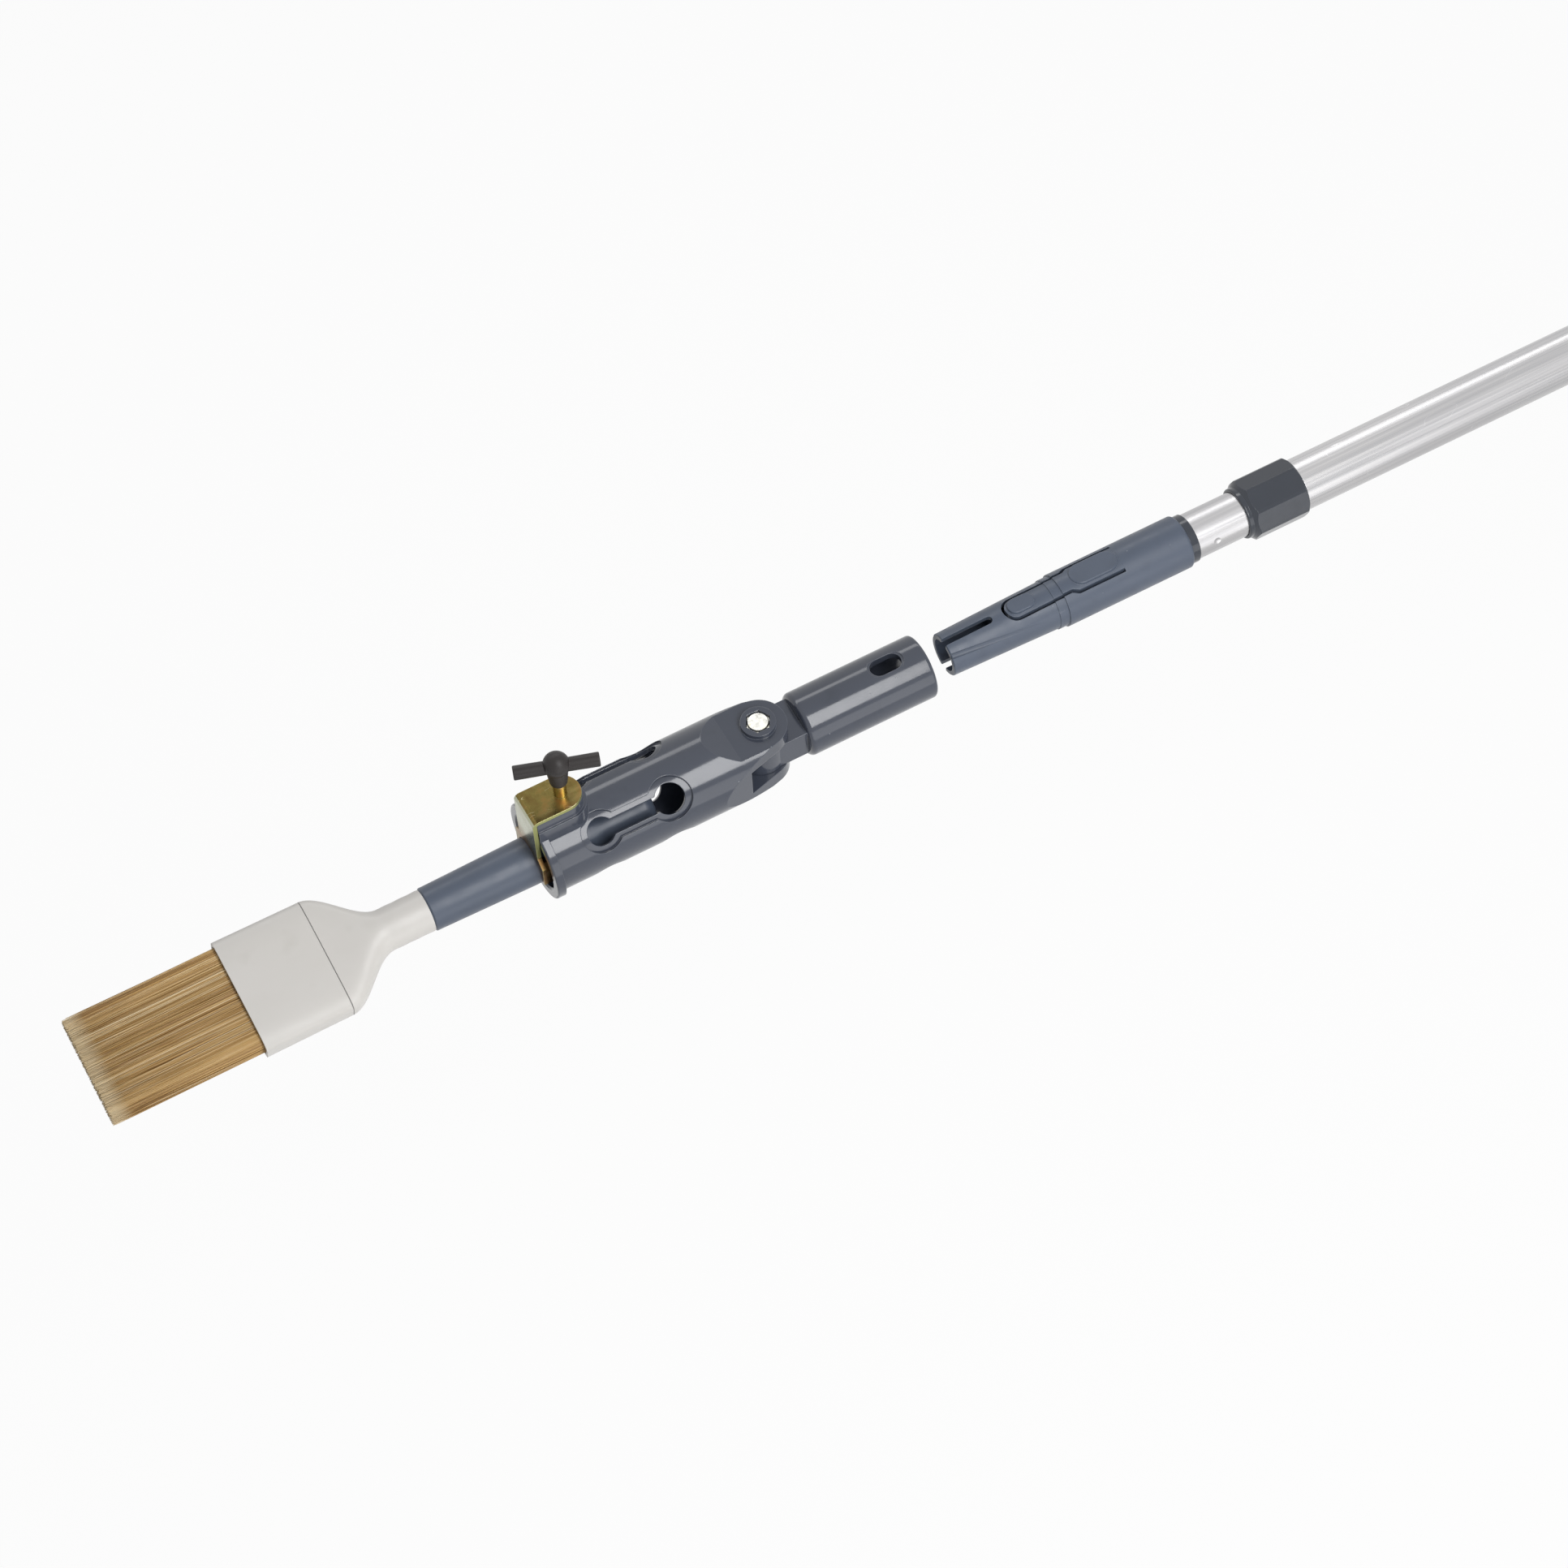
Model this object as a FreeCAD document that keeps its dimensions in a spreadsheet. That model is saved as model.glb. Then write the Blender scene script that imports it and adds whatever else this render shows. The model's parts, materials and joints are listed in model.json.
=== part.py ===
"""Window cleaning pole with a tilting tool clamp and a flat dusting brush.

Frame: X runs along the pole, with the brush towards -X and the pole's handle end towards +X.
+Z is the side of the clamp screw, the hinge bolt's head and the latch button.
The origin is the centre of the adapter cone's tip. Lengths are millimetres.
"""
import FreeCAD, Part
import math
import os
import re

import Sketcher

V = FreeCAD.Vector
X, Y, Z = V(1, 0, 0), V(0, 1, 0), V(0, 0, 1)
CENTRE = V(0, 0, 0)

doc = FreeCAD.newDocument("window_cleaning_pole")

# ---------------------------------------------------------------- driving sizes

SIZES = {
    # adapter cone, at the pole's tip
    "cone_tip_dia": 20.5,
    "cone_foot_dia": 23.4,
    "cone_length": 54.3,
    "tip_round": 0.5,
    "ring_step": 0.4,
    "ring_band": 4.7,
    "adapter_dia": 25.6,
    "adapter_length": 65.5,
    "adapter_wall": 2.4,
    "adapter_round": 1.3,
    "cavity_end": 100.0,
    "slit_width": 4.0,
    "slit_length": 25.0,
    "groove_width": 3.4,
    "groove_depth": 0.8,
    "groove_length": 46.0,
    "groove_angle": 56.0,
    "spigot_length": 26.0,
    # latch arm, in the cone's top wall
    "nub_centre": 40.0,
    "nub_length": 13.5,
    "nub_width": 8.0,
    "nub_rise": 1.1,
    "arm_width": 9.8,
    "arm_overhang": 1.2,
    "button_length": 25.0,
    "button_width": 11.0,
    "button_rise": 0.6,
    "button_margin": 0.9,
    "nub_to_button": 25.5,
    "latch_gap": 1.4,
    "latch_flare": 1.5,
    "pad_edge": 0.6,
    # stop ring and inner tube
    "stop_ring_dia": 23.4,
    "stop_ring_length": 4.0,
    "inner_tube_dia": 22.0,
    "inner_tube_wall": 1.0,
    "crimp_from_ring": 9.0,
    "crimp_dia": 3.6,
    "crimp_depth": 0.5,
    "crimp_angle": 71.0,
    # twist collar and outer tube
    "collar_stand_off": 25.8,
    "collar_length": 31.0,
    "collar_flats": 27.7,
    "collar_corner_dia": 29.4,
    "collar_lip_dia": 24.8,
    "collar_lip_length": 2.2,
    "collar_lip_round": 0.8,
    "collar_front": 3.0,
    "collar_chamfer": 1.0,
    "collar_bore_gap": 0.2,
    "collet_length": 9.0,
    "collet_wall": 1.0,
    "collet_split": 1.2,
    "outer_tube_dia": 25.0,
    "outer_tube_wall": 1.2,
    "outer_tube_length": 620.0,
    "tube_in_collar": 18.0,
    "tube_thread_dia": 24.6,
    "tube_thread_runout": 0.5,
    "thread_clearance": 0.06,
    "bush_length": 16.0,
    "bush_rim": 4.0,
    "slide_clearance": 0.05,
    "bush_bore": 14.0,
    "bush_to_cap": 31.5,
    "cap_dia": 24.6,
    "cap_rim": 3.0,
    "cap_plug": 14.0,
    "cap_wall": 2.0,
    "cap_round": 1.2,
    # socket that takes the cone
    "tip_gap": 11.0,
    "socket_length": 64.5,
    "socket_dia": 30.4,
    "socket_round": 1.6,
    "shoulder_round": 2.6,
    "seat_clearance": 0.12,
    "seat_gap": 0.3,
    "socket_bore_spare": 1.0,
    "window_length": 15.2,
    "window_width": 8.8,
    "window_rim": 1.0,
    "window_rim_depth": 0.7,
    "mouth_lead": 0.25,
    # hinge
    "shoulder_to_hinge": 18.7,
    "tongue_width": 21.0,
    "tongue_thickness": 16.0,
    "tongue_lobe_dia": 23.0,
    "fork_clearance": 0.3,
    "fork_floor_gap": 1.2,
    "bolt_dia": 6.0,
    "bolt_head_flats": 10.0,
    "bolt_head_height": 4.0,
    "bolt_head_sink": 0.2,
    "pin_clearance": 0.05,
    "hex_clearance": 0.25,
    "nut_height": 4.8,
    "washer_dia": 12.0,
    "washer_thickness": 1.2,
    "bolt_point": 0.9,
    # barrel that holds the tool's handle
    "hinge_to_mouth": 112.5,
    "barrel_dia": 41.5,
    "barrel_bore_dia": 35.4,
    "barrel_straight": 85.0,
    "barrel_bore_depth": 90.0,
    "bore_lead": 0.8,
    "bore_end_round": 3.0,
    "rim_dia": 46.0,
    "rim_length": 4.0,
    "rim_round": 0.8,
    "cheek_lobe_dia": 26.0,
    "cheek_height": 15.6,
    "cheek_slope": 12.0,
    "boss_dia": 16.0,
    "boss_height": 18.0,
    "slot_front": 27.3,
    "slot_back": 61.0,
    "slot_front_dia": 13.0,
    "slot_back_dia": 14.2,
    "slot_channel": 7.4,
    "slot_border": 3.2,
    "slot_border_depth": 1.2,
    "step_over": 0.1,
    "pad_height": 33.6,
    "pad_ledge_height": 27.8,
    "pad_width": 17.6,
    "pad_ledge_width": 19.6,
    "pad_length": 25.6,
    "pad_ledge_length": 27.2,
    # clamp bracket and screw
    "bracket_plate": 2.0,
    "bracket_width": 18.0,
    "bracket_shoulder": 8.0,
    "bracket_flare": 4.0,
    "bracket_length": 25.2,
    "bracket_foot": 7.5,
    "bracket_gap": 0.2,
    "bracket_bend": 0.8,
    "saddle_length": 8.0,
    "screw_from_mouth": 16.0,
    "screw_dia": 6.0,
    "screw_shown": 9.6,
    "point": 0.6,
    "foot_dia": 11.0,
    "foot_height": 3.6,
    "foot_gap": 0.2,
    "foot_socket": 2.0,
    "hub_base_dia": 7.9,
    "hub_top_dia": 10.8,
    "hub_height": 8.0,
    "knob_ball_dia": 12.0,
    "knob_ball_height": 13.0,
    "knob_arm_dia": 6.5,
    "knob_arm_root_dia": 6.2,
    "knob_arm_round": 0.6,
    "knob_span": 37.8,
    "knob_arm_height": 11.7,
    "knob_turn": 19.0,
    # brush
    "handle_dia": 22.0,
    "handle_front_dia": 20.4,
    "handle_taper": 48.0,
    "handle_drop": 5.0,
    "handle_inside": 57.0,
    "handle_shown": 53.5,
    "handle_end_round": 5.0,
    "handle_clearance": 0.2,
    "brush_turn": 14.5,
    "neck_dia": 19.4,
    "neck_length": 48.7,
    "neck_straight": 20.0,
    "neck_spigot_dia": 13.0,
    "neck_spigot_length": 24.0,
    "neck_tenon_length": 9.0,
    "ferrule_width": 54.6,
    "ferrule_thickness": 16.4,
    "ferrule_flare": 0.5,
    "ferrule_length": 41.5,
    "ferrule_wall": 1.5,
    "ferrule_squareness": 5.0,
    "plug_length": 16.0,
    "bristle_shown": 72.0,
    "bristle_tip_width": 51.0,
    "bristle_tip_thickness": 11.5,
}

# Places along X and radii that follow from the sizes.
PLACES = {
    "adapter_start": "cone_length + ring_band",
    "adapter_end": "adapter_start + adapter_length",
    "ring_end": "adapter_end + stop_ring_length",
    "collar_start": "ring_end + collar_stand_off",
    "collar_end": "collar_start + collar_length",
    "outer_start": "collar_end - tube_in_collar",
    "outer_end": "outer_start + outer_tube_length",
    "inner_end": "outer_end - cap_plug - bush_to_cap - bush_rim",
    "inner_bore": "inner_tube_dia - 2 * inner_tube_wall",
    "outer_bore": "outer_tube_dia - 2 * outer_tube_wall",
    "cone_slope": "(cone_foot_dia - cone_tip_dia) / (2 * cone_length)",
    "ring_dia": "cone_foot_dia + 2 * ring_step",
    "mouth_of_socket": "-tip_gap",
    "shoulder": "-tip_gap - socket_length",
    "hinge": "shoulder - shoulder_to_hinge",
    "mouth": "hinge - hinge_to_mouth",
    "arm_tip": "nub_centre - nub_length / 2 - arm_overhang",
    "button_start": "nub_centre + nub_to_button",
    "latch_root": "button_start + button_length",
    "button_arm_width": "button_width + 2 * button_margin",
    "fork_half": "tongue_thickness / 2 + fork_clearance",
    "screw_x": "mouth + screw_from_mouth",
    "flange_top": "pad_height + bracket_plate",
    "handle_top": "handle_dia / 2 - handle_drop",
    "foot_base": "handle_top + foot_gap",
    "hub_base": "flange_top + screw_shown",
    "seam": "mouth - handle_shown",
    "ferrule_back": "seam - neck_length",
    "ferrule_front": "ferrule_back - ferrule_length",
}

# ---------------------------------------------------------------- spreadsheet and formulas

sheet = doc.addObject("Spreadsheet::Sheet", "Sizes")
for row, (alias, size) in enumerate(SIZES.items(), start=1):
    sheet.set(f"A{row}", alias)
    sheet.set(f"B{row}", str(size))
    sheet.setAlias(f"B{row}", alias)
doc.recompute()


def formula(text):
    """Spell out a formula: a place becomes its own formula, a size its sheet cell."""
    def spell(match):
        word = match.group(0)
        if word in PLACES:
            return f"({formula(PLACES[word])})"
        return f"Sizes.{word}" if word in SIZES else word
    return re.sub(r"[a-z][a-z_]+", spell, str(text))


def number(text):
    """The value of a formula."""
    return float(sheet.evalExpression(formula(text)))


def bind(thing, prop, text):
    """Tie a property to a formula."""
    thing.setExpression(prop, formula(text))


def place(thing, x="0", y="0", z="0", turn=None):
    """Put an object at formulas x, y, z, turned by a fixed rotation."""
    if turn is not None:
        thing.Placement = FreeCAD.Placement(CENTRE, turn)
    for axis, text in zip("xyz", (x, y, z)):
        bind(thing, f"Placement.Base.{axis}", text)
    return thing


# ---------------------------------------------------------------- sketches

# how a sketch's plane stands: its own x and y run along these axes of the frame
PLANES = {
    "XY": FreeCAD.Rotation(),
    "XZ": FreeCAD.Rotation(X, 90),
    "YZ": FreeCAD.Rotation(V(1, 1, 1), 120),
}


def new_sketch(name, plane):
    """An empty sketch lying in a plane through the origin."""
    sketch = doc.addObject("Sketcher::SketchObject", name)
    sketch.Placement = FreeCAD.Placement(CENTRE, PLANES[plane])
    return sketch


def hold(sketch, kind, geometry, point, text):
    """Hold one coordinate of a point at a formula."""
    index = sketch.addConstraint(Sketcher.Constraint(kind, -1, 1, geometry, point, number(text)))
    bind(sketch, f"Constraints[{index}]", text)


def outline(name, corners, plane="XY", lift="0"):
    """A closed sketch through corners.

    A corner (x, y) is reached by a line. A corner (x, y, centre_x, centre_y, turn) is reached
    by an arc about that centre, anticlockwise for turn = 1 and clockwise for turn = -1.
    """
    sketch = new_sketch(name, plane)
    spots = [V(number(c[0]), number(c[1]), 0) for c in corners]
    ends = []
    for index, corner in enumerate(corners):
        start, finish = spots[index - 1], spots[index]
        if len(corner) == 2:
            geometry = sketch.addGeometry(Part.LineSegment(start, finish))
            ends.append((geometry, 1, 2))
            continue
        centre = V(number(corner[2]), number(corner[3]), 0)
        first, last = (start, finish) if corner[4] == 1 else (finish, start)
        from_angle = math.atan2(first.y - centre.y, first.x - centre.x)
        to_angle = math.atan2(last.y - centre.y, last.x - centre.x)
        circle = Part.Circle(centre, Z, (first - centre).Length)
        geometry = sketch.addGeometry(Part.ArcOfCircle(circle, from_angle, to_angle))
        ends.append((geometry, 1, 2) if corner[4] == 1 else (geometry, 2, 1))
    for index, (geometry, start_point, _) in enumerate(ends):
        before, _, before_end = ends[index - 1]
        sketch.addConstraint(
            Sketcher.Constraint("Coincident", before, before_end, geometry, start_point)
        )
    for index, corner in enumerate(corners):
        geometry, _, end_point = ends[index]
        hold(sketch, "DistanceX", geometry, end_point, corner[0])
        hold(sketch, "DistanceY", geometry, end_point, corner[1])
        if len(corner) > 2:
            chord = spots[index] - spots[index - 1]
            if abs(chord.y) > abs(chord.x):
                hold(sketch, "DistanceX", geometry, 3, corner[2])
            else:
                hold(sketch, "DistanceY", geometry, 3, corner[3])
    if lift != "0":
        normal = {"XY": "z", "XZ": "y", "YZ": "x"}[plane]
        bind(sketch, f"Placement.Base.{normal}", lift)
    return sketch


def slot_corners(start, end, width):
    """An oblong along x with round ends, from start to end."""
    half = f"({width}) / 2"
    left, right = f"({start}) + {half}", f"({end}) - {half}"
    return [
        (left, f"-{half}", left, "0", 1),
        (right, f"-{half}"),
        (right, half, right, "0", 1),
        (left, half),
    ]


# ---------------------------------------------------------------- solids

def rod(name, dia, length, x="0", y="0", z="0", along=Z):
    """A cylinder that starts at x, y, z and runs along an axis."""
    cylinder = doc.addObject("Part::Cylinder", name)
    bind(cylinder, "Radius", f"({dia}) / 2")
    bind(cylinder, "Height", length)
    return place(cylinder, x, y, z, FreeCAD.Rotation(Z, along))


def cone(name, dia_start, dia_end, length, x="0", y="0", z="0", along=Z):
    """A cone that starts at x, y, z and runs along an axis."""
    taper = doc.addObject("Part::Cone", name)
    bind(taper, "Radius1", f"({dia_start}) / 2")
    bind(taper, "Radius2", f"({dia_end}) / 2")
    bind(taper, "Height", length)
    return place(taper, x, y, z, FreeCAD.Rotation(Z, along))


def block(name, low, high):
    """A box between two corners."""
    box = doc.addObject("Part::Box", name)
    for prop, start, end in zip(("Length", "Width", "Height"), low, high):
        bind(box, prop, f"({end}) - ({start})")
    return place(box, *low)


def hexagon(name, flats, height, x, z):
    """A hexagonal prism along Z."""
    prism = doc.addObject("Part::Prism", name)
    prism.Polygon = 6
    bind(prism, "Circumradius", f"({flats}) / sqrt(3)")
    bind(prism, "Height", height)
    return place(prism, x, "0", z)


def extrude(name, sketch, forward, backward="0"):
    """A solid from a sketch, along its plane's normal."""
    solid = doc.addObject("Part::Extrusion", name)
    solid.Base = sketch
    solid.DirMode = "Normal"
    solid.Solid = True
    bind(solid, "LengthFwd", forward)
    bind(solid, "LengthRev", backward)
    return solid


def spin(name, corners):
    """A solid of revolution about the X axis."""
    solid = doc.addObject("Part::Revolution", name)
    solid.Source = outline(name + "_profile", corners)
    solid.Axis = X
    solid.Angle = 360
    solid.Solid = True
    return solid


def combine(kind, name, parts):
    solid = doc.addObject(kind, name)
    solid.Shapes = parts
    return solid


def join(name, *parts):
    return combine("Part::MultiFuse", name, list(parts))


def common(name, *parts):
    return combine("Part::MultiCommon", name, list(parts))


def cut(name, base, *tools):
    """A solid with tools taken away."""
    result = doc.addObject("Part::Cut", name)
    result.Base = base
    result.Tool = tools[0] if len(tools) == 1 else join(name + "_tools", *tools)
    return result


def round_edges(name, base, radius, chosen):
    """Fillet the edges of a solid that a test picks by their shape."""
    doc.recompute()
    size = number(radius)
    fillet = doc.addObject("Part::Fillet", name)
    fillet.Base = base
    picked = [i for i, edge in enumerate(base.Shape.Edges, start=1) if chosen(edge)]
    fillet.Edges = [(i, size, size) for i in picked]
    return fillet


pieces = []


def piece(label, solid):
    """Name a finished solid as one of the object's pieces."""
    solid.Label = label
    pieces.append(solid)
    return solid

# ---------------------------------------------------------------- pole

def ring_profile(start, end, inner_dia, outer_dia):
    """The rectangle that spins into a plain tube or ring."""
    inner, outer = f"({inner_dia}) / 2", f"({outer_dia}) / 2"
    return [(start, inner), (end, inner), (end, outer), (start, outer)]


def crimp_dent(name, side):
    """The ball that presses a dent into the tube's side, where the tube grips the spigot."""
    half, depth = number("crimp_dia / 2"), number("crimp_depth")
    ball_radius = (half ** 2 + depth ** 2) / (2 * depth)
    ball = doc.addObject("Part::Sphere", name)
    ball.Radius = ball_radius
    angle = math.radians(side * number("crimp_angle"))
    reach = number("inner_tube_dia / 2") - depth + ball_radius
    ball.Placement.Base = V(
        number("ring_end + crimp_from_ring"), -reach * math.sin(angle), reach * math.cos(angle)
    )
    return ball


def build_pole():
    tube = spin("inner_tube_blank",
                ring_profile("ring_end", "inner_end", "inner_bore", "inner_tube_dia"))
    dents = [crimp_dent("crimp_near", 1), crimp_dent("crimp_far", -1)]
    piece("inner_tube", cut("inner_tube_solid", tube, *dents))

    inside, thread_end = "outer_bore / 2", "collar_end + tube_thread_runout"
    outer = spin("outer_tube_solid", [
        ("outer_start", inside), ("outer_end", inside), ("outer_end", "outer_tube_dia / 2"),
        (thread_end, "outer_tube_dia / 2"), (thread_end, "tube_thread_dia / 2"),
        ("outer_start", "tube_thread_dia / 2"),
    ])
    piece("outer_tube", outer)

    rim_start = "inner_end"
    rim_end = "inner_end + bush_rim"
    plug_start = "inner_end - bush_length + bush_rim"
    plug_dia, rim_dia = "inner_bore - slide_clearance", "outer_bore - 2 * slide_clearance"
    piece("guide_bush", spin("guide_bush_solid", [
        (plug_start, "bush_bore / 2"), (rim_end, "bush_bore / 2"),
        (rim_end, f"({rim_dia}) / 2"), (rim_start, f"({rim_dia}) / 2"),
        (rim_start, f"({plug_dia}) / 2"), (plug_start, f"({plug_dia}) / 2"),
    ]))

    cap_inside = "outer_bore / 2 - slide_clearance"
    cap_plug_start = "outer_end - cap_plug"
    piece("end_cap", spin("end_cap_solid", [
        (cap_plug_start, f"{cap_inside} - cap_wall"), ("outer_end", f"{cap_inside} - cap_wall"),
        ("outer_end", "0"), ("outer_end + cap_rim", "0"),
        ("outer_end + cap_rim", "cap_dia / 2 - cap_round"),
        ("outer_end + cap_rim - cap_round", "cap_dia / 2",
         "outer_end + cap_rim - cap_round", "cap_dia / 2 - cap_round", 1),
        ("outer_end", "cap_dia / 2"),
        ("outer_end", cap_inside), (cap_plug_start, cap_inside),
    ]))


def build_collar():
    cavity = "tube_thread_dia / 2 + thread_clearance"
    front_bore = "inner_tube_dia / 2 + collar_bore_gap"
    wall_end = "collar_start + collar_front"
    lip_end = "collar_start + collar_lip_length"
    corner = "collar_corner_dia / 2"
    nut = spin("collar_nut_blank", [
        ("collar_start", front_bore), (wall_end, front_bore), (wall_end, cavity),
        ("collar_end", cavity), ("collar_end", f"{corner} - collar_chamfer"),
        ("collar_end - collar_chamfer", corner),
        (f"{lip_end} + collar_corner_dia / 2 - collar_lip_dia / 2", corner),
        (lip_end, "collar_lip_dia / 2"),
        ("collar_start + collar_lip_round", "collar_lip_dia / 2"),
        ("collar_start", "collar_lip_dia / 2 - collar_lip_round",
         "collar_start + collar_lip_round", "collar_lip_dia / 2 - collar_lip_round", 1),
    ])
    flats = doc.addObject("Part::Prism", "collar_flats_prism")
    flats.Polygon = 8
    bind(flats, "Circumradius", "collar_flats / 2 / cos(22.5 deg)")
    bind(flats, "Height", "collar_length")
    place(flats, "collar_start", "0", "0", FreeCAD.Rotation(Z, X))
    piece("collar_nut", common("collar_nut_solid", nut, flats))

    collet_start = f"{wall_end} + collar_bore_gap"
    collet_end = f"{collet_start} + collet_length"
    ring = spin("collet_ring", [
        (collet_start, "inner_tube_dia / 2 + slide_clearance"),
        (collet_end, "inner_tube_dia / 2 + slide_clearance"),
        (collet_end, f"{cavity} - collar_bore_gap"),
        (f"{collet_start} + collet_wall", f"{cavity} - collar_bore_gap"),
        (collet_start, f"{cavity} - collar_bore_gap - collet_wall / 2"),
    ])
    split = block("collet_split_cut",
                  (collet_start + " - 1", "-collet_split / 2", "0"),
                  (collet_end + " + 1", "collet_split / 2", "outer_tube_dia"))
    piece("collet", cut("collet_solid", ring, split))


# ---------------------------------------------------------------- adapter with its latch

def latch_corners(gap):
    """Top outline of the latch arm, or with a gap of the window it moves in."""
    slim = f"(arm_width / 2 + {gap})"
    wide = f"(button_arm_width / 2 + {gap})"
    nose_centre = "arm_tip + arm_width / 2"
    narrow_end = f"button_start - latch_flare - {gap} / 2"
    wide_start = f"button_start + latch_flare - {gap} / 2"
    return [
        (nose_centre, f"-{slim}", nose_centre, "0", 1),
        (narrow_end, f"-{slim}"), (wide_start, f"-{wide}"), ("latch_root", f"-{wide}"),
        ("latch_root", wide), (wide_start, wide), (narrow_end, slim), (nose_centre, slim),
    ]


def raised_pad(name, start, end, width, base, top):
    """An oblong pad with a rounded upper edge."""
    sketch = outline(name + "_outline", slot_corners(start, end, width), lift=base)
    prism = extrude(name + "_prism", sketch, f"({top}) - ({base})")
    level = number(top)

    def on_top(edge):
        return all(abs(v.Point.z - level) < 0.001 for v in edge.Vertexes)
    return round_edges(name, prism, "pad_edge", on_top)


def tip_groove(name, side):
    """The round cutter of a shallow groove that runs from the tip and fades out."""
    angle = math.radians(side * number("groove_angle"))
    outward = V(0, -math.sin(angle), math.cos(angle))
    length = number("groove_length")
    rise = number("groove_depth + cone_slope * groove_length")
    start = outward * number("(cone_tip_dia + groove_width) / 2 - groove_depth")
    along = X * length + outward * rise
    cutter = doc.addObject("Part::Cylinder", name)
    bind(cutter, "Radius", "groove_width / 2")
    bind(cutter, "Height", "groove_length * 1.5")
    lead_in = along.normalize() * number("groove_length / 4")
    cutter.Placement = FreeCAD.Placement(start - lead_in, FreeCAD.Rotation(Z, along))
    return cutter


def build_adapter():
    tip, foot, body = "cone_tip_dia / 2", "cone_foot_dia / 2", "adapter_dia / 2"
    spigot = "inner_bore / 2 - slide_clearance"
    spigot_end = "ring_end + spigot_length"
    core_start = "cavity_end + adapter_wall"
    core = "inner_bore / 2 - adapter_wall"
    shell = spin("adapter_shell", [
        ("0", f"{tip} - adapter_wall"), ("cone_length", f"{foot} - adapter_wall"),
        ("cavity_end", f"{body} - adapter_wall"), ("cavity_end", "0"), (core_start, "0"),
        (core_start, core), (spigot_end, core), (spigot_end, spigot), ("adapter_end", spigot),
        ("adapter_end", f"{body} - adapter_round"),
        ("adapter_end - adapter_round", body,
         "adapter_end - adapter_round", f"{body} - adapter_round", 1),
        ("adapter_start", body), ("adapter_start", "ring_dia / 2"),
        ("cone_length", "ring_dia / 2"), ("cone_length", foot),
        ("tip_round", f"{tip} + cone_slope * tip_round"), ("0", f"{tip} - tip_round"),
    ])
    window = extrude("latch_window", outline("latch_window_outline", latch_corners("latch_gap")),
                     "adapter_dia")
    slit = extrude("tip_slit",
                   outline("tip_slit_outline",
                           slot_corners("-slit_width * 2", "slit_length", "slit_width")),
                   "adapter_dia", "adapter_dia")
    grooves = [tip_groove("groove_near", 1), tip_groove("groove_far", -1)]
    piece("cone_adapter", cut("cone_adapter_solid", shell, window, slit, *grooves))

    arm = common("latch_arm_wall", shell,
                 extrude("latch_arm_prism", outline("latch_arm_outline", latch_corners("0")),
                         "adapter_dia"))
    nub_top = f"{tip} + cone_slope * nub_centre + nub_rise"
    nub = raised_pad("nub", "nub_centre - nub_length / 2", "nub_centre + nub_length / 2",
                     "nub_width", f"{nub_top} - nub_rise - adapter_wall * 0.75", nub_top)
    button_top = f"{body} + button_rise"
    button = raised_pad("button", "button_start", "latch_root - button_margin", "button_width",
                        f"{button_top} - button_rise - adapter_wall * 0.75", button_top)
    piece("latch_arm", join("latch_arm_solid", arm, nub, button))

    piece("stop_ring", spin("stop_ring_solid", [
        ("adapter_end", spigot), ("ring_end", spigot),
        ("ring_end", "stop_ring_dia / 2 - tip_round"),
        ("ring_end - tip_round", "stop_ring_dia / 2"), ("adapter_end", "stop_ring_dia / 2"),
    ]))

# ---------------------------------------------------------------- socket and hinge

def build_socket():
    """The socket that the cone plugs into, with the hinge tongue at its closed end."""
    radius = "socket_dia / 2"
    seated_tip = "cone_tip_dia / 2 + seat_clearance"
    ring_bore = "ring_dia / 2 + seat_clearance"
    ring_floor = "mouth_of_socket - ring_band"
    foot_bore = f"{seated_tip} + cone_slope * (cone_length - seat_gap)"
    floor = "mouth_of_socket - adapter_start - socket_bore_spare"
    floor_bore = f"{seated_tip} - cone_slope * (seat_gap + socket_bore_spare)"
    sleeve = spin("socket_sleeve", [
        ("mouth_of_socket", f"{ring_bore} + mouth_lead"),
        ("mouth_of_socket", f"{radius} - socket_round"),
        ("mouth_of_socket - socket_round", radius,
         "mouth_of_socket - socket_round", f"{radius} - socket_round", 1),
        ("shoulder + shoulder_round", radius),
        ("shoulder", f"{radius} - shoulder_round",
         "shoulder + shoulder_round", f"{radius} - shoulder_round", 1),
        ("shoulder", "0"), (floor, "0"), (floor, floor_bore), (ring_floor, foot_bore),
        (ring_floor, ring_bore), ("mouth_of_socket - mouth_lead", ring_bore),
    ])
    lobe, half = "tongue_lobe_dia / 2", "tongue_width / 2"
    neck_start = f"hinge + sqrt(({lobe}) ^ 2 - ({half}) ^ 2)"
    tongue = extrude("hinge_tongue", outline("hinge_tongue_outline", [
        (neck_start, half), (neck_start, f"-{half}", "hinge", "0", 1),
        ("shoulder + shoulder_round", f"-{half}"), ("shoulder + shoulder_round", half),
    ]), "tongue_thickness / 2", "tongue_thickness / 2")
    pivot = rod("pivot_hole", "bolt_dia + 2 * pin_clearance", "socket_dia",
                "hinge", "0", "-socket_dia / 2")
    window_centre = "mouth_of_socket - adapter_start + seat_gap + nub_centre"
    window_start = f"{window_centre} - window_length / 2"
    window_end = f"{window_centre} + window_length / 2"
    window = extrude("window_cut", outline("window_outline",
                     slot_corners(window_start, window_end, "window_width")), "socket_dia")
    rim = extrude("window_rim_cut", outline("window_rim_outline",
                  slot_corners(f"{window_start} - window_rim", f"{window_end} + window_rim",
                               "window_width + 2 * window_rim"),
                  lift=f"{radius} - window_rim_depth"), "socket_dia")
    piece("holder_socket", cut("holder_socket_solid", join("socket_body", sleeve, tongue),
                               pivot, window, rim))


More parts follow.
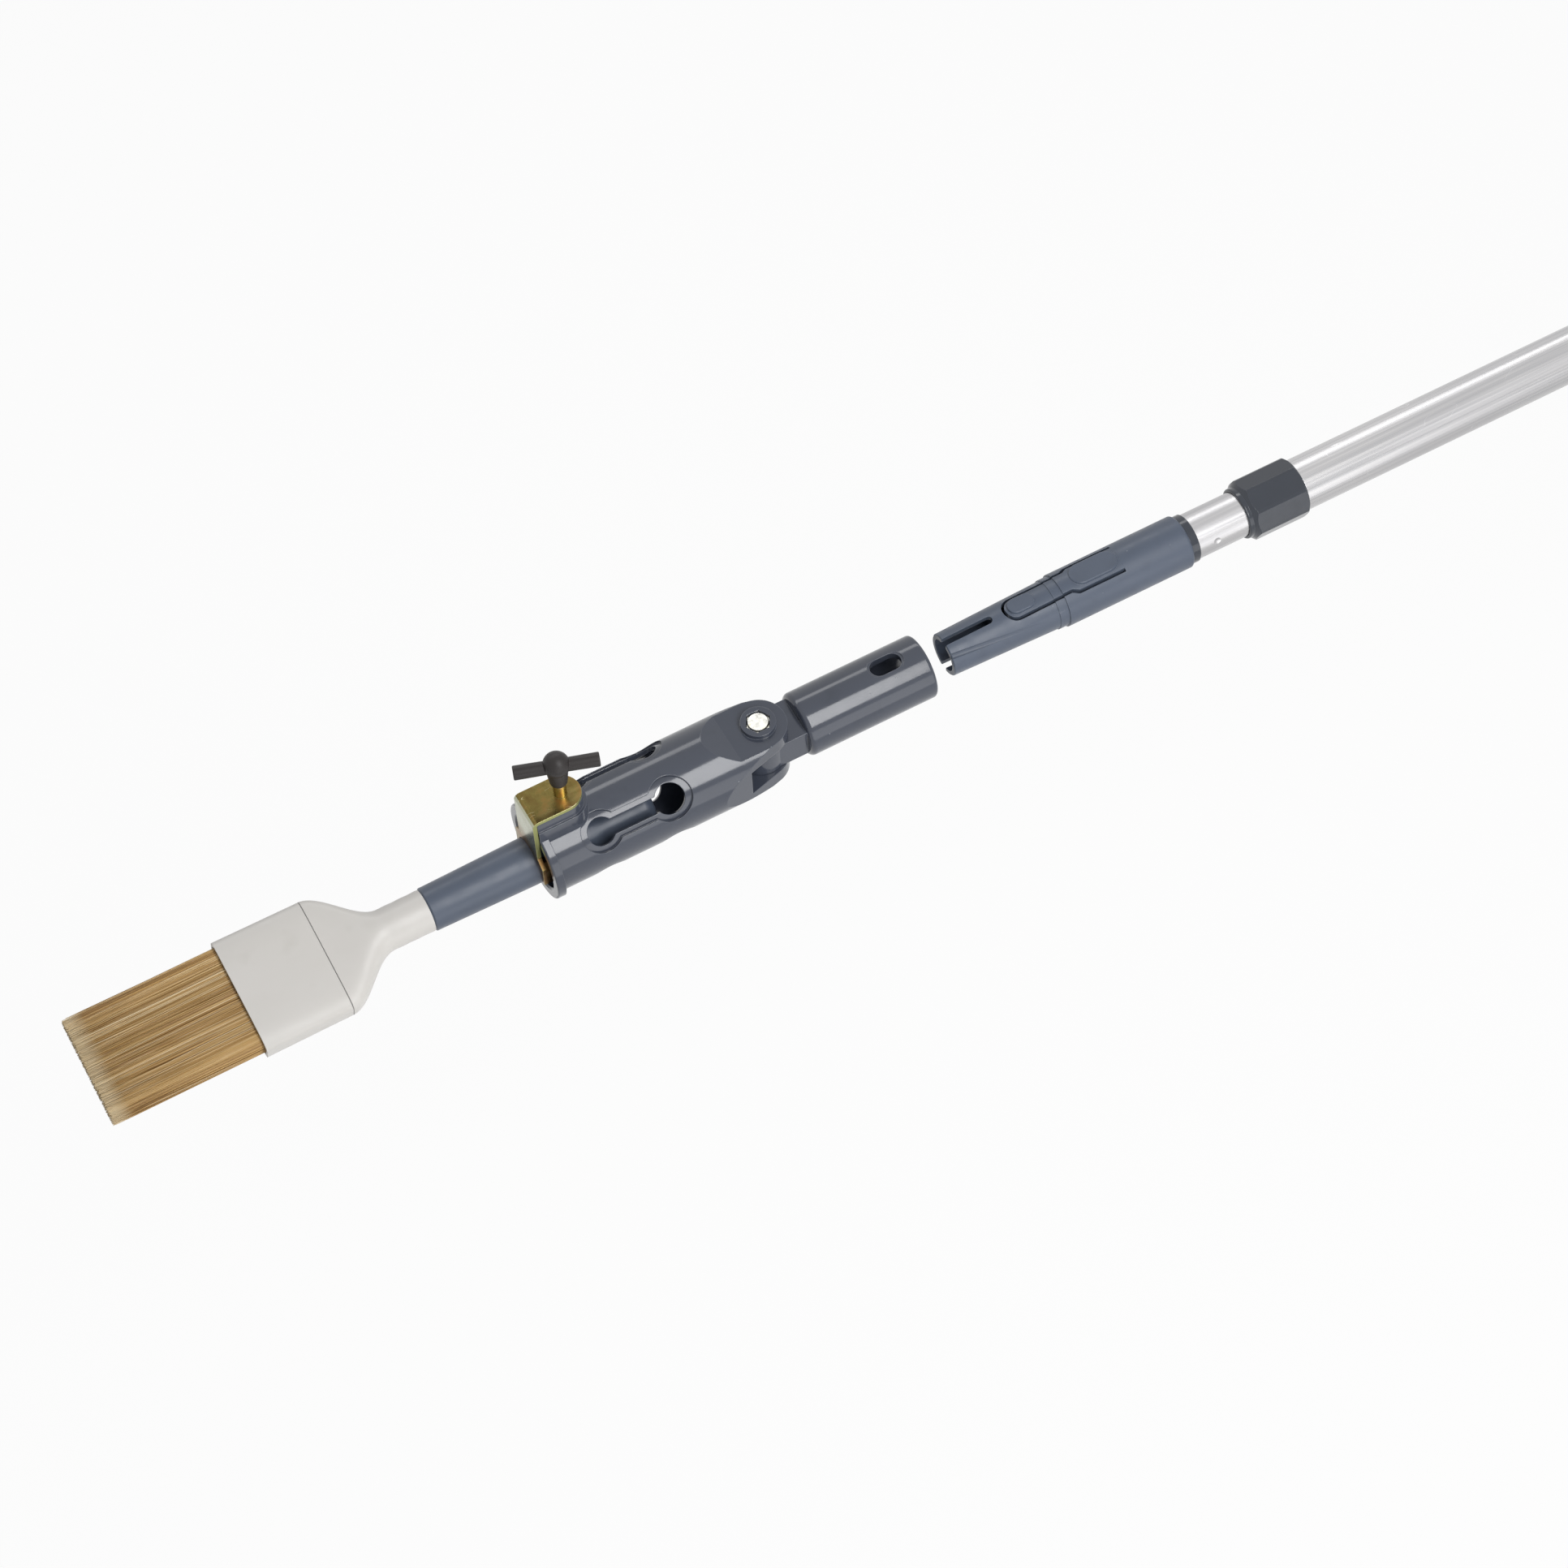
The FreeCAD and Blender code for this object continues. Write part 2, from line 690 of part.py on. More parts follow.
def build_hinge_hardware():
    head_base = "boss_height - bolt_head_height - bolt_head_sink"
    nut_top = "-(boss_height - nut_height - washer_thickness - bolt_point)"
    washer_top = f"{nut_top} + washer_thickness"
    head = hexagon("bolt_head", "bolt_head_flats", "bolt_head_height", "hinge", head_base)
    crown = cone("bolt_crown", "bolt_head_flats * 1.16", "bolt_head_flats * 0.9",
                 "bolt_head_height", "hinge", "0", head_base)
    crown_base = rod("bolt_crown_base", "bolt_head_flats * 1.16", "bolt_head_height * 0.7",
                     "hinge", "0", head_base)
    shank_end = f"{nut_top} - nut_height - bolt_point"
    shank = rod("bolt_shank", "bolt_dia", f"{head_base} - ({shank_end}) + bolt_head_height / 2",
                "hinge", "0", shank_end)
    piece("hinge_bolt", join("hinge_bolt_solid", shank,
                             common("bolt_head_solid", head, join("crown_form", crown, crown_base))))
    washer = rod("washer_disc", "washer_dia", "washer_thickness", "hinge", "0", nut_top)
    washer_hole = rod("washer_hole", "bolt_dia + 2 * pin_clearance", "washer_thickness * 3",
                      "hinge", "0", f"{nut_top} - washer_thickness")
    piece("hinge_washer", cut("hinge_washer_solid", washer, washer_hole))
    nut = hexagon("nut_blank", "bolt_head_flats", "nut_height", "hinge", f"{nut_top} - nut_height")
    nut_hole = rod("nut_hole", "bolt_dia + 2 * thread_clearance", "nut_height * 3",
                   "hinge", "0", f"{nut_top} - nut_height * 2")
    piece("hinge_nut", cut("hinge_nut_solid", nut, nut_hole))
    return head_base, washer_top


# ---------------------------------------------------------------- barrel

def grip_slot_corners(grow):
    """The dog-bone outline of a grip slot: two round ends and a narrower channel."""
    front_radius = f"(slot_front_dia / 2 + {grow})"
    back_radius = f"(slot_back_dia / 2 + {grow})"
    half = f"(slot_channel / 2 + {grow} * 0.8)"
    front, back = "(mouth + slot_front)", "(mouth + slot_back)"
    front_x = f"{front} + sqrt({front_radius} ^ 2 - {half} ^ 2)"
    back_x = f"{back} - sqrt({back_radius} ^ 2 - {half} ^ 2)"
    return [
        (front_x, f"-{half}", front, "0", 1), (back_x, f"-{half}"),
        (back_x, half, back, "0", 1), (front_x, half),
    ]


def grip_slots():
    """Cutters of the four grip slots, and of the shallow border around each."""
    cutters, steps = [], []
    for index in range(4):
        turn = FreeCAD.Rotation(X, 45 + 90 * index)
        for kind, grow, store in (("hole", "0", cutters), ("step", "slot_border", steps)):
            sketch = outline(f"grip_slot_{kind}_{index}", grip_slot_corners(grow))
            sketch.Placement = FreeCAD.Placement(CENTRE, turn)
            store.append(extrude(f"grip_slot_{kind}_cut_{index}", sketch, "barrel_dia"))
    band = spin("grip_slot_step_band", ring_profile(
        "mouth", "hinge", "barrel_dia - 2 * slot_border_depth", "barrel_dia + step_over"))
    return cutters, common("grip_slot_steps", join("grip_slot_step_cuts", *steps), band)


def top_pad(name, width, length, base, top):
    """A flat pad from the mouth back, with a round end."""
    half = f"({width}) / 2"
    end_centre = f"mouth + {length} - {half}"
    sketch = outline(name + "_outline", [
        ("mouth", f"-{half}"), (end_centre, f"-{half}"), (end_centre, half, end_centre, "0", 1),
        ("mouth", half),
    ], lift=base)
    return extrude(name, sketch, f"({top}) - ({base})")


def build_barrel(head_base, washer_top):
    """The barrel that holds the tool's handle, with the hinge's two cheeks at its closed end."""
    radius, rim = "barrel_dia / 2", "rim_dia / 2"
    lobe, slope_end = "cheek_lobe_dia / 2", "mouth + barrel_straight + cheek_slope"
    form = spin("barrel_round", [
        ("mouth", "0"), ("mouth", f"{rim} - rim_round"),
        ("mouth + rim_round", rim, "mouth + rim_round", f"{rim} - rim_round", -1),
        ("mouth + rim_length", rim), ("mouth + rim_length", radius),
        (f"hinge + {lobe}", radius), (f"hinge + {lobe}", "0"),
    ])
    # seen from above: straight sides, then flats that close in on the cheeks' round lobe
    waist = "mouth + barrel_straight"
    run = "(hinge_to_mouth - barrel_straight)"
    lean = f"(acos({lobe} / sqrt({run} ^ 2 + ({radius}) ^ 2)) - atan({run} / ({radius})))"
    touch_x, touch_y = f"hinge + {lobe} * sin({lean})", f"{lobe} * cos({lean})"
    plan = extrude("barrel_plan", outline("barrel_plan_outline", [
        ("mouth", f"-{rim}"), (waist, f"-{rim}"), (waist, f"-{radius}"),
        (touch_x, f"-({touch_y})"), (touch_x, touch_y, "hinge", "0", 1),
        (waist, radius), (waist, rim), ("mouth", rim),
    ]), rim, rim)
    # seen from the side: the cheeks' outer faces are flat
    side = extrude("barrel_side", outline("barrel_side_outline", [
        ("mouth", f"-{rim}"), (waist, f"-{rim}"), (waist, f"-{radius}"),
        (slope_end, "-cheek_height"), (f"hinge + {lobe}", "-cheek_height"),
        (f"hinge + {lobe}", "cheek_height"), (slope_end, "cheek_height"),
        (waist, radius), (waist, rim), ("mouth", rim),
    ], plane="XZ"), rim, rim)
    slot_holes, slot_borders = grip_slots()
    form = cut("barrel_bordered", common("barrel_form", form, plan, side), slot_borders)

    ledge = top_pad("pad_ledge", "pad_ledge_width", "pad_ledge_length", "cheek_height / 2",
                    "pad_ledge_height")
    pad = top_pad("pad_top", "pad_width", "pad_length", "cheek_height / 2", "pad_height")
    boss = rod("hinge_boss", "boss_dia", "boss_height * 2", "hinge", "0", "-boss_height")
    body = join("barrel_body", form, ledge, pad, boss)
    bore = spin("barrel_bore", [
        ("mouth - 1", "0"), ("mouth - 1", "barrel_bore_dia / 2 + bore_lead"),
        ("mouth", "barrel_bore_dia / 2 + bore_lead"),
        ("mouth + bore_lead", "barrel_bore_dia / 2"),
        ("mouth + barrel_bore_depth - bore_end_round", "barrel_bore_dia / 2"),
        ("mouth + barrel_bore_depth", "barrel_bore_dia / 2 - bore_end_round"),
        ("mouth + barrel_bore_depth", "0"),
    ])
    fork_floor = "hinge - tongue_lobe_dia / 2 - fork_floor_gap"
    fork = block("fork_slot", (fork_floor, "-rim_dia", "-fork_half"),
                 (f"hinge + {lobe} + 1", "rim_dia", "fork_half"))
    bolt_hole = rod("bolt_hole", "bolt_dia + 2 * pin_clearance", "boss_height * 3",
                    "hinge", "0", "-boss_height * 1.5")
    head_recess = hexagon("bolt_head_recess", "bolt_head_flats + 2 * hex_clearance",
                          "boss_height", "hinge", head_base)
    nut_recess = rod("nut_recess", "washer_dia + 2 * hex_clearance", "boss_height",
                     "hinge", "0", f"{washer_top} - boss_height")
    screw_hole = rod("barrel_screw_hole", "screw_dia + 4 * hex_clearance", "pad_height",
                     "screw_x", "0", "barrel_bore_dia / 4")
    piece("clamp_barrel", cut("clamp_barrel_solid", body, bore, fork, bolt_hole,
                              head_recess, nut_recess, screw_hole, *slot_holes))

# ---------------------------------------------------------------- clamp

def build_bracket():
    """The bent steel strip: a flange on the pad, a leg before the mouth and a saddle's two ears."""
    outer_x, inner_x = "mouth - bracket_gap - bracket_plate", "mouth - bracket_gap"
    bend, end = "(bracket_bend + bracket_plate)", "mouth + bracket_length"
    strip = extrude("bracket_strip", outline("bracket_strip_outline", [
        (outer_x, "-bracket_foot"), (inner_x, "-bracket_foot"),
        (inner_x, "pad_height - bracket_bend"),
        (f"{inner_x} + bracket_bend", "pad_height",
         f"{inner_x} + bracket_bend", "pad_height - bracket_bend", -1),
        (end, "pad_height"), (end, "flange_top"), (f"{outer_x} + {bend}", "flange_top"),
        (outer_x, f"flange_top - {bend}", f"{outer_x} + {bend}", f"flange_top - {bend}", 1),
    ], plane="XZ"), "bracket_width", "bracket_width")
    # seen along the pole: a straight leg that widens to the saddle
    narrow, wide = "bracket_width / 2", "(handle_dia / 2 + handle_clearance + bracket_plate)"
    flare_low = "(bracket_shoulder - bracket_flare)"
    front = extrude("bracket_front", outline("bracket_front_outline", [
        (wide, "-bracket_foot"), (wide, flare_low), (narrow, "bracket_shoulder"),
        (narrow, "flange_top + 1"), (f"-{narrow}", "flange_top + 1"),
        (f"-{narrow}", "bracket_shoulder"), (f"-{wide}", flare_low), (f"-{wide}", "-bracket_foot"),
    ], plane="YZ", lift="mouth - bracket_width"), "bracket_width * 3")
    # seen from above: the flange ends round
    end_centre = f"{end} - {narrow}"
    plan = extrude("bracket_plan", outline("bracket_plan_outline", [
        ("mouth - bracket_width", f"-{wide}"), (end_centre, f"-{wide}"),
        (end_centre, f"-{narrow}"), (end_centre, narrow, end_centre, "0", 1),
        (end_centre, wide), ("mouth - bracket_width", wide),
    ]), "flange_top + 1", "rim_dia")
    saddle = common("bracket_ears", rod(
        "saddle_round", f"2 * {wide}", "saddle_length + bracket_gap + bracket_plate",
        outer_x, "0", "-handle_drop", X), block(
        "saddle_band", (f"{outer_x} - 1", f"-{wide} - 1", "-bracket_foot"),
        ("mouth + saddle_length + 1", f"{wide} + 1", flare_low)))
    handle_hole = rod("bracket_handle_hole", "handle_dia + 2 * handle_clearance",
                      "saddle_length + bracket_plate * 4", f"{outer_x} - bracket_plate", "0",
                      "-handle_drop", X)
    screw_hole = rod("bracket_screw_hole", "screw_dia + 2 * pin_clearance", "bracket_plate * 4",
                     "screw_x", "0", "pad_height - bracket_plate")
    form = join("bracket_form", common("bracket_bent", strip, front, plan), saddle)
    piece("clamp_bracket", cut("clamp_bracket_solid", form, handle_hole, screw_hole))


def build_screw():
    """The T-handled screw and the swivel foot that presses on the tool's handle."""
    screw_start = "foot_base + foot_height - foot_socket"
    shank = rod("screw_shank", "screw_dia", f"hub_base + hub_height - ({screw_start}) - point",
                "screw_x", "0", f"{screw_start} + point")
    point = cone("screw_point", "screw_dia - 2 * point", "screw_dia", "point",
                 "screw_x", "0", screw_start)
    piece("clamp_screw", join("clamp_screw_solid", shank, point))

    foot = rod("foot_disc", "foot_dia", "foot_height", "screw_x", "0", "foot_base")
    socket = rod("foot_socket_hole", "screw_dia + 2 * pin_clearance", "foot_height",
                 "screw_x", "0", f"{screw_start} - pin_clearance")
    foot = cut("foot_cup", foot, socket)

    def lower_rim(edge):
        return (abs(edge.BoundBox.ZMax - number("foot_base")) < 0.001
                and edge.BoundBox.XLength > number("foot_dia") - 0.01)
    piece("screw_foot", round_edges("screw_foot_solid", foot, "pad_edge", lower_rim))

    hub = cone("knob_hub", "hub_base_dia", "hub_top_dia", "knob_ball_height",
               "screw_x", "0", "hub_base")
    ball = doc.addObject("Part::Sphere", "knob_ball")
    bind(ball, "Radius", "knob_ball_dia / 2")
    place(ball, "screw_x", "0", "hub_base + knob_ball_height")
    arm_z = "hub_base + knob_arm_height"
    direction = FreeCAD.Rotation(Z, -number("knob_turn")).multVec(X)
    arms = []
    for name, way in (("knob_arm_front", 1), ("knob_arm_back", -1)):
        arm = cone(name, "knob_arm_root_dia", "knob_arm_dia", "knob_span / 2",
                   "screw_x", "0", arm_z, direction * way)
        tip = number("knob_span / 2")

        def at_tip(edge, arm=arm, way=way, tip=tip):
            middle = edge.BoundBox.Center - arm.Placement.Base
            return abs(middle.dot(direction * way) - tip) < 0.01
        arms.append(round_edges(name + "_round", arm, "knob_arm_round", at_tip))
    bore = rod("knob_bore", "screw_dia", "hub_height", "screw_x", "0", "hub_base")
    piece("screw_handle", cut("screw_handle_solid", join("knob_body", hub, ball, *arms), bore))


# ---------------------------------------------------------------- brush

NECK_SECTIONS = 14
LOOP_POINTS = 32


def rounded_loop(x, half_width, half_thickness, squareness):
    """A closed smooth section: an ellipse that turns squarer as squareness grows from 2."""
    points = []
    turn = FreeCAD.Rotation(X, number("brush_turn"))
    for step in range(LOOP_POINTS):
        angle = 2 * math.pi * step / LOOP_POINTS
        across, up = math.cos(angle), math.sin(angle)
        flat = V(
            x,
            half_width * math.copysign(abs(across) ** (2 / squareness), across),
            half_thickness * math.copysign(abs(up) ** (2 / squareness), up),
        )
        points.append(turn.multVec(flat) - Z * number("handle_drop"))
    curve = Part.BSplineCurve()
    curve.interpolate(Points=points, PeriodicFlag=True)
    return Part.Wire([curve.toShape()])


def loft(name, sections):
    """A solid through rounded loops, kept as a feature of the document."""
    solid = doc.addObject("Part::Feature", name)
    solid.Shape = Part.makeLoft([rounded_loop(*section) for section in sections], True)
    return solid


def ferrule_section(share):
    """Half width and half thickness of the ferrule, from its back (0) to its front (1)."""
    grow = share * number("ferrule_flare") / 2
    return number("ferrule_width") / 2 + grow, number("ferrule_thickness") / 2 + grow


def build_brush():
    radius, front_radius = "handle_dia / 2", "handle_front_dia / 2"
    inner_end = "mouth + handle_inside"
    grip = spin("handle_rod", [
        ("seam", "0"), (inner_end, "0"), (inner_end, f"{radius} - handle_end_round"),
        (f"{inner_end} - handle_end_round", radius,
         f"{inner_end} - handle_end_round", f"{radius} - handle_end_round", 1),
        ("seam + handle_taper", radius), ("seam + rim_round", front_radius),
        ("seam", f"{front_radius} - rim_round"),
    ])
    socket = rod("handle_socket", "neck_spigot_dia", "neck_spigot_length", "seam", "0", "0", X)
    piece("brush_handle", place(cut("brush_handle_solid", grip, socket), z="-handle_drop"))

    half_width, half_thickness = ferrule_section(0)
    neck_radius = number("neck_dia / 2")
    straight, length = number("neck_straight"), number("neck_length")
    sections = []
    for step in range(NECK_SECTIONS + 1):
        along = length * step / NECK_SECTIONS
        share = max(0, along - straight) / (length - straight)
        smooth = share * share * (3 - 2 * share)
        sections.append((
            number("seam") - along,
            neck_radius + (half_width - neck_radius) * smooth,
            neck_radius + (half_thickness - neck_radius) * smooth,
            2.0 + (number("ferrule_squareness") - 2.0) * smooth,
        ))
    flare = loft("neck_flare", sections)
    back = number("ferrule_back")
    tenon_end = back - number("neck_tenon_length")
    wall = number("ferrule_wall + slide_clearance")
    square = number("ferrule_squareness")
    tenon = loft("neck_tenon", [(back + 0.5, half_width - wall, half_thickness - wall, square),
                                (tenon_end, half_width - wall, half_thickness - wall, square)])
    spigot = rod("neck_spigot", "neck_spigot_dia - slide_clearance",
                 "neck_spigot_length + neck_straight / 2", "seam - neck_straight / 2", "0",
                 "-handle_drop", X)
    piece("brush_neck", join("brush_neck_solid", flare, tenon, spigot))

    front = number("ferrule_front")
    front_width, front_thickness = ferrule_section(1)
    wall = number("ferrule_wall")
    skin = loft("ferrule_skin", [(back, half_width, half_thickness, square),
                                 (front, front_width, front_thickness, square)])
    hollow = loft("ferrule_hollow", [
        (back + 1, half_width - wall, half_thickness - wall, square),
        (front - 1, front_width - wall, front_thickness - wall, square)])
    piece("brush_ferrule", cut("brush_ferrule_solid", skin, hollow))

    plug_start = tenon_end - 0.1
    plug_end = plug_start - number("plug_length")
    inset = number("ferrule_wall + slide_clearance")
    plug = loft("bristle_plug", [
        (plug_start, half_width - inset, half_thickness - inset, square),
        (plug_end, half_width - inset, half_thickness - inset, square)])
    piece("bristle_plug", plug)
    tip_width, tip_thickness = number("bristle_tip_width / 2"), number("bristle_tip_thickness / 2")
    bristles = loft("bristles", [
        (plug_end, half_width - inset, half_thickness - inset, square),
        (front, tip_width + 0.1, half_thickness - inset, square),
        (front - number("bristle_shown"), tip_width, tip_thickness, square)])
    piece("bristles", bristles)


# ---------------------------------------------------------------- build, check and write

build_pole()
build_collar()
build_adapter()
build_socket()
build_barrel(*build_hinge_hardware())
build_bracket()
build_screw()
build_brush()
doc.recompute()

failed = [o.Label for o in doc.Objects if "Invalid" in o.State or "Error" in o.State]
if failed:
    raise SystemExit(f"these objects failed: {failed}")
os.makedirs("parts", exist_ok=True)
for solid in pieces:
    shape = solid.Shape
    if shape.isNull() or not shape.isValid() or not shape.Solids:
        raise SystemExit(f"{solid.Label} has no valid solid")
    print(f"{solid.Label:16s} solids {len(shape.Solids)}  volume {shape.Volume:10.1f}")
for solid in pieces:
    solid.Shape.exportStep(f"parts/{solid.Label}.step")
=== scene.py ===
"""The looks of a window cleaning pole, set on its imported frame.

Solid pieces keep the frame's shapes and get their finishes here. The block of bristles is replaced by
filaments round a packed core. Lengths are in metres.
"""

import json
import math
import random

import bpy
from mathutils import Matrix, Vector


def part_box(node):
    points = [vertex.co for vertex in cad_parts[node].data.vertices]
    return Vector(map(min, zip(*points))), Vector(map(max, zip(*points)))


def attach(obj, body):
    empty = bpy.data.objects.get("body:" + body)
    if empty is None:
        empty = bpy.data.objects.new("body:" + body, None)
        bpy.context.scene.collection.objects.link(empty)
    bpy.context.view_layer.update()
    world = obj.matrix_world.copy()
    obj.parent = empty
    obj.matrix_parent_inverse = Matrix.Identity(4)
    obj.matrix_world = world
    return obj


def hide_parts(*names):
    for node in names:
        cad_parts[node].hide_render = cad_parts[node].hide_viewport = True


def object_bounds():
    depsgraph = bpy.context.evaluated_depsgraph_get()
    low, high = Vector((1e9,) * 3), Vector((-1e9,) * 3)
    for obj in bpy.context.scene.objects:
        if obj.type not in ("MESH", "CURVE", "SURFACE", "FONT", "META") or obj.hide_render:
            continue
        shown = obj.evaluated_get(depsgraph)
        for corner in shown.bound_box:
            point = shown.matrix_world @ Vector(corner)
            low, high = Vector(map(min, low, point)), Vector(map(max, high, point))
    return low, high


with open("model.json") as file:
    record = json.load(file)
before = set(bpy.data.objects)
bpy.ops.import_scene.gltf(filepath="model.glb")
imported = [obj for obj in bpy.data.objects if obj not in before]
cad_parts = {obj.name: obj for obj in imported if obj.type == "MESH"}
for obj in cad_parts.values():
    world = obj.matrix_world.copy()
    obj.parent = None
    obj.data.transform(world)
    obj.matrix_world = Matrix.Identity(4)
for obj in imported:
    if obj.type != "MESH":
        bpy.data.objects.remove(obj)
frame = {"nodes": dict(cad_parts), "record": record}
cad_box = [list(corner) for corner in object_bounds()]
scene = bpy.context.scene
scene.view_settings.view_transform = "Standard"
MM = 0.001
POLE_AXIS = Vector((1, 0, 0))

# ---------------------------------------------------------------- camera

# The lean of the pole's brush end towards the lens, the look down on the pole, and the picture's turn.
AXIS_TILT = math.radians(13.47)
LOOK_DOWN = math.radians(30.0)
ROLL = math.radians(25.81)
# How far off the camera stands, where it aims, right and up from the frame's origin, and the width it sees.
DISTANCE = 2.0
AIM = Vector((-0.0716, -0.0578))
FRAME_WIDTH = 0.7035
SENSOR_MM = 36.0


def camera_axes():
    """The camera's right, up and back directions."""
    back = Vector((-math.sin(AXIS_TILT), -math.cos(AXIS_TILT) * math.sin(LOOK_DOWN),
                   math.cos(AXIS_TILT) * math.cos(LOOK_DOWN)))
    along = (POLE_AXIS - back * POLE_AXIS.dot(back)).normalized()
    across = back.cross(along)
    right = along * math.cos(ROLL) - across * math.sin(ROLL)
    up = along * math.sin(ROLL) + across * math.cos(ROLL)
    return right, up, back


RIGHT, UP, BACK = camera_axes()


def turned(right, up, back):
    """The turn of a camera or lamp that looks against back."""
    return Matrix((right, up, back)).transposed().to_4x4()


def add_camera():
    lens = bpy.data.cameras.new("camera")
    lens.sensor_width = SENSOR_MM
    lens.lens = SENSOR_MM * DISTANCE / FRAME_WIDTH
    camera = bpy.data.objects.new("camera", lens)
    place = RIGHT * AIM.x + UP * AIM.y + BACK * DISTANCE
    camera.matrix_world = Matrix.Translation(place) @ turned(RIGHT, UP, BACK)
    scene.collection.objects.link(camera)
    scene.camera = camera


add_camera()

# ---------------------------------------------------------------- nodes of a finish

# Most of a noise's values lie in this range.
NOISE_MIDDLE = (0.3, 0.7)
# The cosine between the bevelled and the plain normal where an edge's mask starts, and where it is full.
EDGE_START, EDGE_FULL = 0.998, 0.93
BEVEL_SAMPLES = 8
# A speck is full within this share of its radius, and a scratch's ends fade over this much of a noise.
SPECK_MIDDLE = 0.55
SCRATCH_ENDS = 0.05
# The noise that breaks the scratches up has this share of their waves.
BREAK_SCALE = 0.7

# The cone's middle radius, and its near flute: its length from the tip, the radius of its round cutter, its
# depth at the tip, and its angle round the pole at the tip and at its far end.
CONE_RADIUS = 10.8 * MM
FLUTE_LENGTH = 46 * MM
FLUTE_RADIUS = 1.7 * MM
FLUTE_DEPTH = 0.8 * MM
FLUTE_ANGLES = (math.radians(43), math.radians(64))
# Half the width of a joint line, and its depth.
JOINT_WIDTH = 0.3 * MM


def srgb(code):
    """A colour written as six hex digits, in the linear values that shaders take."""
    parts = [int(code[i:i + 2], 16) / 255 for i in (0, 2, 4)]
    return tuple(p / 12.92 if p <= 0.04045 else ((p + 0.055) / 1.055) ** 2.4 for p in parts) + (1.0,)


class Finish:
    """A material, with short calls that add to its nodes."""

    def __init__(self, name, **fixed):
        self.material = bpy.data.materials.new(name)
        self.material.use_nodes = True
        self.tree = self.material.node_tree
        self.shader = self.tree.nodes["Principled BSDF"]
        self.spot = self.add("ShaderNodeTexCoord").outputs["Object"]
        for socket, value in fixed.items():
            self.shader.inputs[socket.replace("_", " ")].default_value = value

    def add(self, kind, inputs=(), **props):
        node = self.tree.nodes.new(kind)
        for prop, value in props.items():
            setattr(node, prop, value)
        for socket, value in dict(inputs).items():
            self.feed(node, socket, value)
        return node

    def feed(self, node, socket, value):
        """Link a socket to another node's output, or set it to a plain value."""
        if isinstance(value, bpy.types.NodeSocket):
            self.tree.links.new(value, node.inputs[socket])
        else:
            node.inputs[socket].default_value = value

    def noise(self, scale, detail=2.0, stretch=(1, 1, 1), rough=0.5):
        """Noise from 0 to 1; scale is in waves per metre."""
        spot = self.spot
        if stretch != (1, 1, 1):
            stretched = self.add("ShaderNodeVectorMath", {0: self.spot, 1: stretch}, operation="MULTIPLY")
            spot = stretched.outputs[0]
        return self.add("ShaderNodeTexNoise", {
            "Vector": spot, "Scale": scale, "Detail": detail, "Roughness": rough,
        }).outputs[0]

    def span(self, value, low, high, out_low=0.0, out_high=1.0):
        """Map a value from one range to another, held at its ends."""
        return self.add("ShaderNodeMapRange", {
            "Value": value, "From Min": low, "From Max": high, "To Min": out_low, "To Max": out_high,
        }).outputs[0]

    def between(self, noise, low, high):
        """Map a noise's middle to a range."""
        return self.span(noise, *NOISE_MIDDLE, low, high)

    def math(self, kind, a, b=0.0):
        return self.add("ShaderNodeMath", {0: a, 1: b}, operation=kind).outputs[0]

    def times(self, a, b):
        return self.math("MULTIPLY", a, b)

    def raised(self, value, mask, share):
        """A value with a share added where a mask is 1."""
        return self.math("ADD", value, self.times(mask, share))

    def mix(self, share, a, b):
        """Colour a, with colour b over it by share."""
        return self.add("ShaderNodeMix", {0: share, 6: a, 7: b}, data_type="RGBA").outputs[2]

    def tint(self, tone, mask, share, code):
        """A tone with a colour over it: a share of it where a mask is 1."""
        return self.mix(self.times(mask, share), tone, srgb(code))

    def cloud(self, tone, value, low, high, share, code):
        """A tone with a colour over it: none of it where a value is low, and a share where it is high."""
        return self.mix(self.span(value, low, high, 0.0, share), tone, srgb(code))

    def ramp(self, value, *stops):
        node = self.add("ShaderNodeValToRGB", {0: value})
        band = node.color_ramp
        while len(band.elements) < len(stops):
            band.elements.new(0.5)
        for element, (place, code) in zip(band.elements, stops):
            element.position = place
            element.color = srgb(code)
        return node.outputs[0]

    def place(self):
        """The x, y and z of the point that is shaded."""
        return self.add("ShaderNodeSeparateXYZ", {0: self.spot}).outputs

    def specks(self, per_metre, size, chance):
        """Dust: sparse round specks."""
        cells = self.add("ShaderNodeTexVoronoi", {"Vector": self.spot, "Scale": per_metre})
        near = self.span(cells.outputs["Distance"], size, size * SPECK_MIDDLE)
        lot = self.add("ShaderNodeSeparateColor", {0: cells.outputs["Color"]}).outputs[0]
        return self.times(near, self.math("LESS_THAN", lot, chance))

    def scratches(self, scale, stretch, width, cover):
        """Thin lines: the contours of a stretched noise, broken up by a second one."""
        lines = self.math("ABSOLUTE", self.math("SUBTRACT", self.noise(scale, 0.0, stretch), 0.5))
        thin = self.span(lines, width, 0.0)
        breaks = self.span(self.noise(scale * BREAK_SCALE, 1.0), 1 - cover, 1 - cover + SCRATCH_ENDS)
        return self.times(thin, breaks)

    def edges(self, radius):
        """Soft normals round the edges, and a mask of the edges."""
        soft = self.add("ShaderNodeBevel", {"Radius": radius}, samples=BEVEL_SAMPLES).outputs[0]
        plain = self.add("ShaderNodeNewGeometry").outputs["Normal"]
        turn = self.add("ShaderNodeVectorMath", {0: soft, 1: plain}, operation="DOT_PRODUCT")
        return soft, self.span(turn.outputs["Value"], EDGE_START, EDGE_FULL)

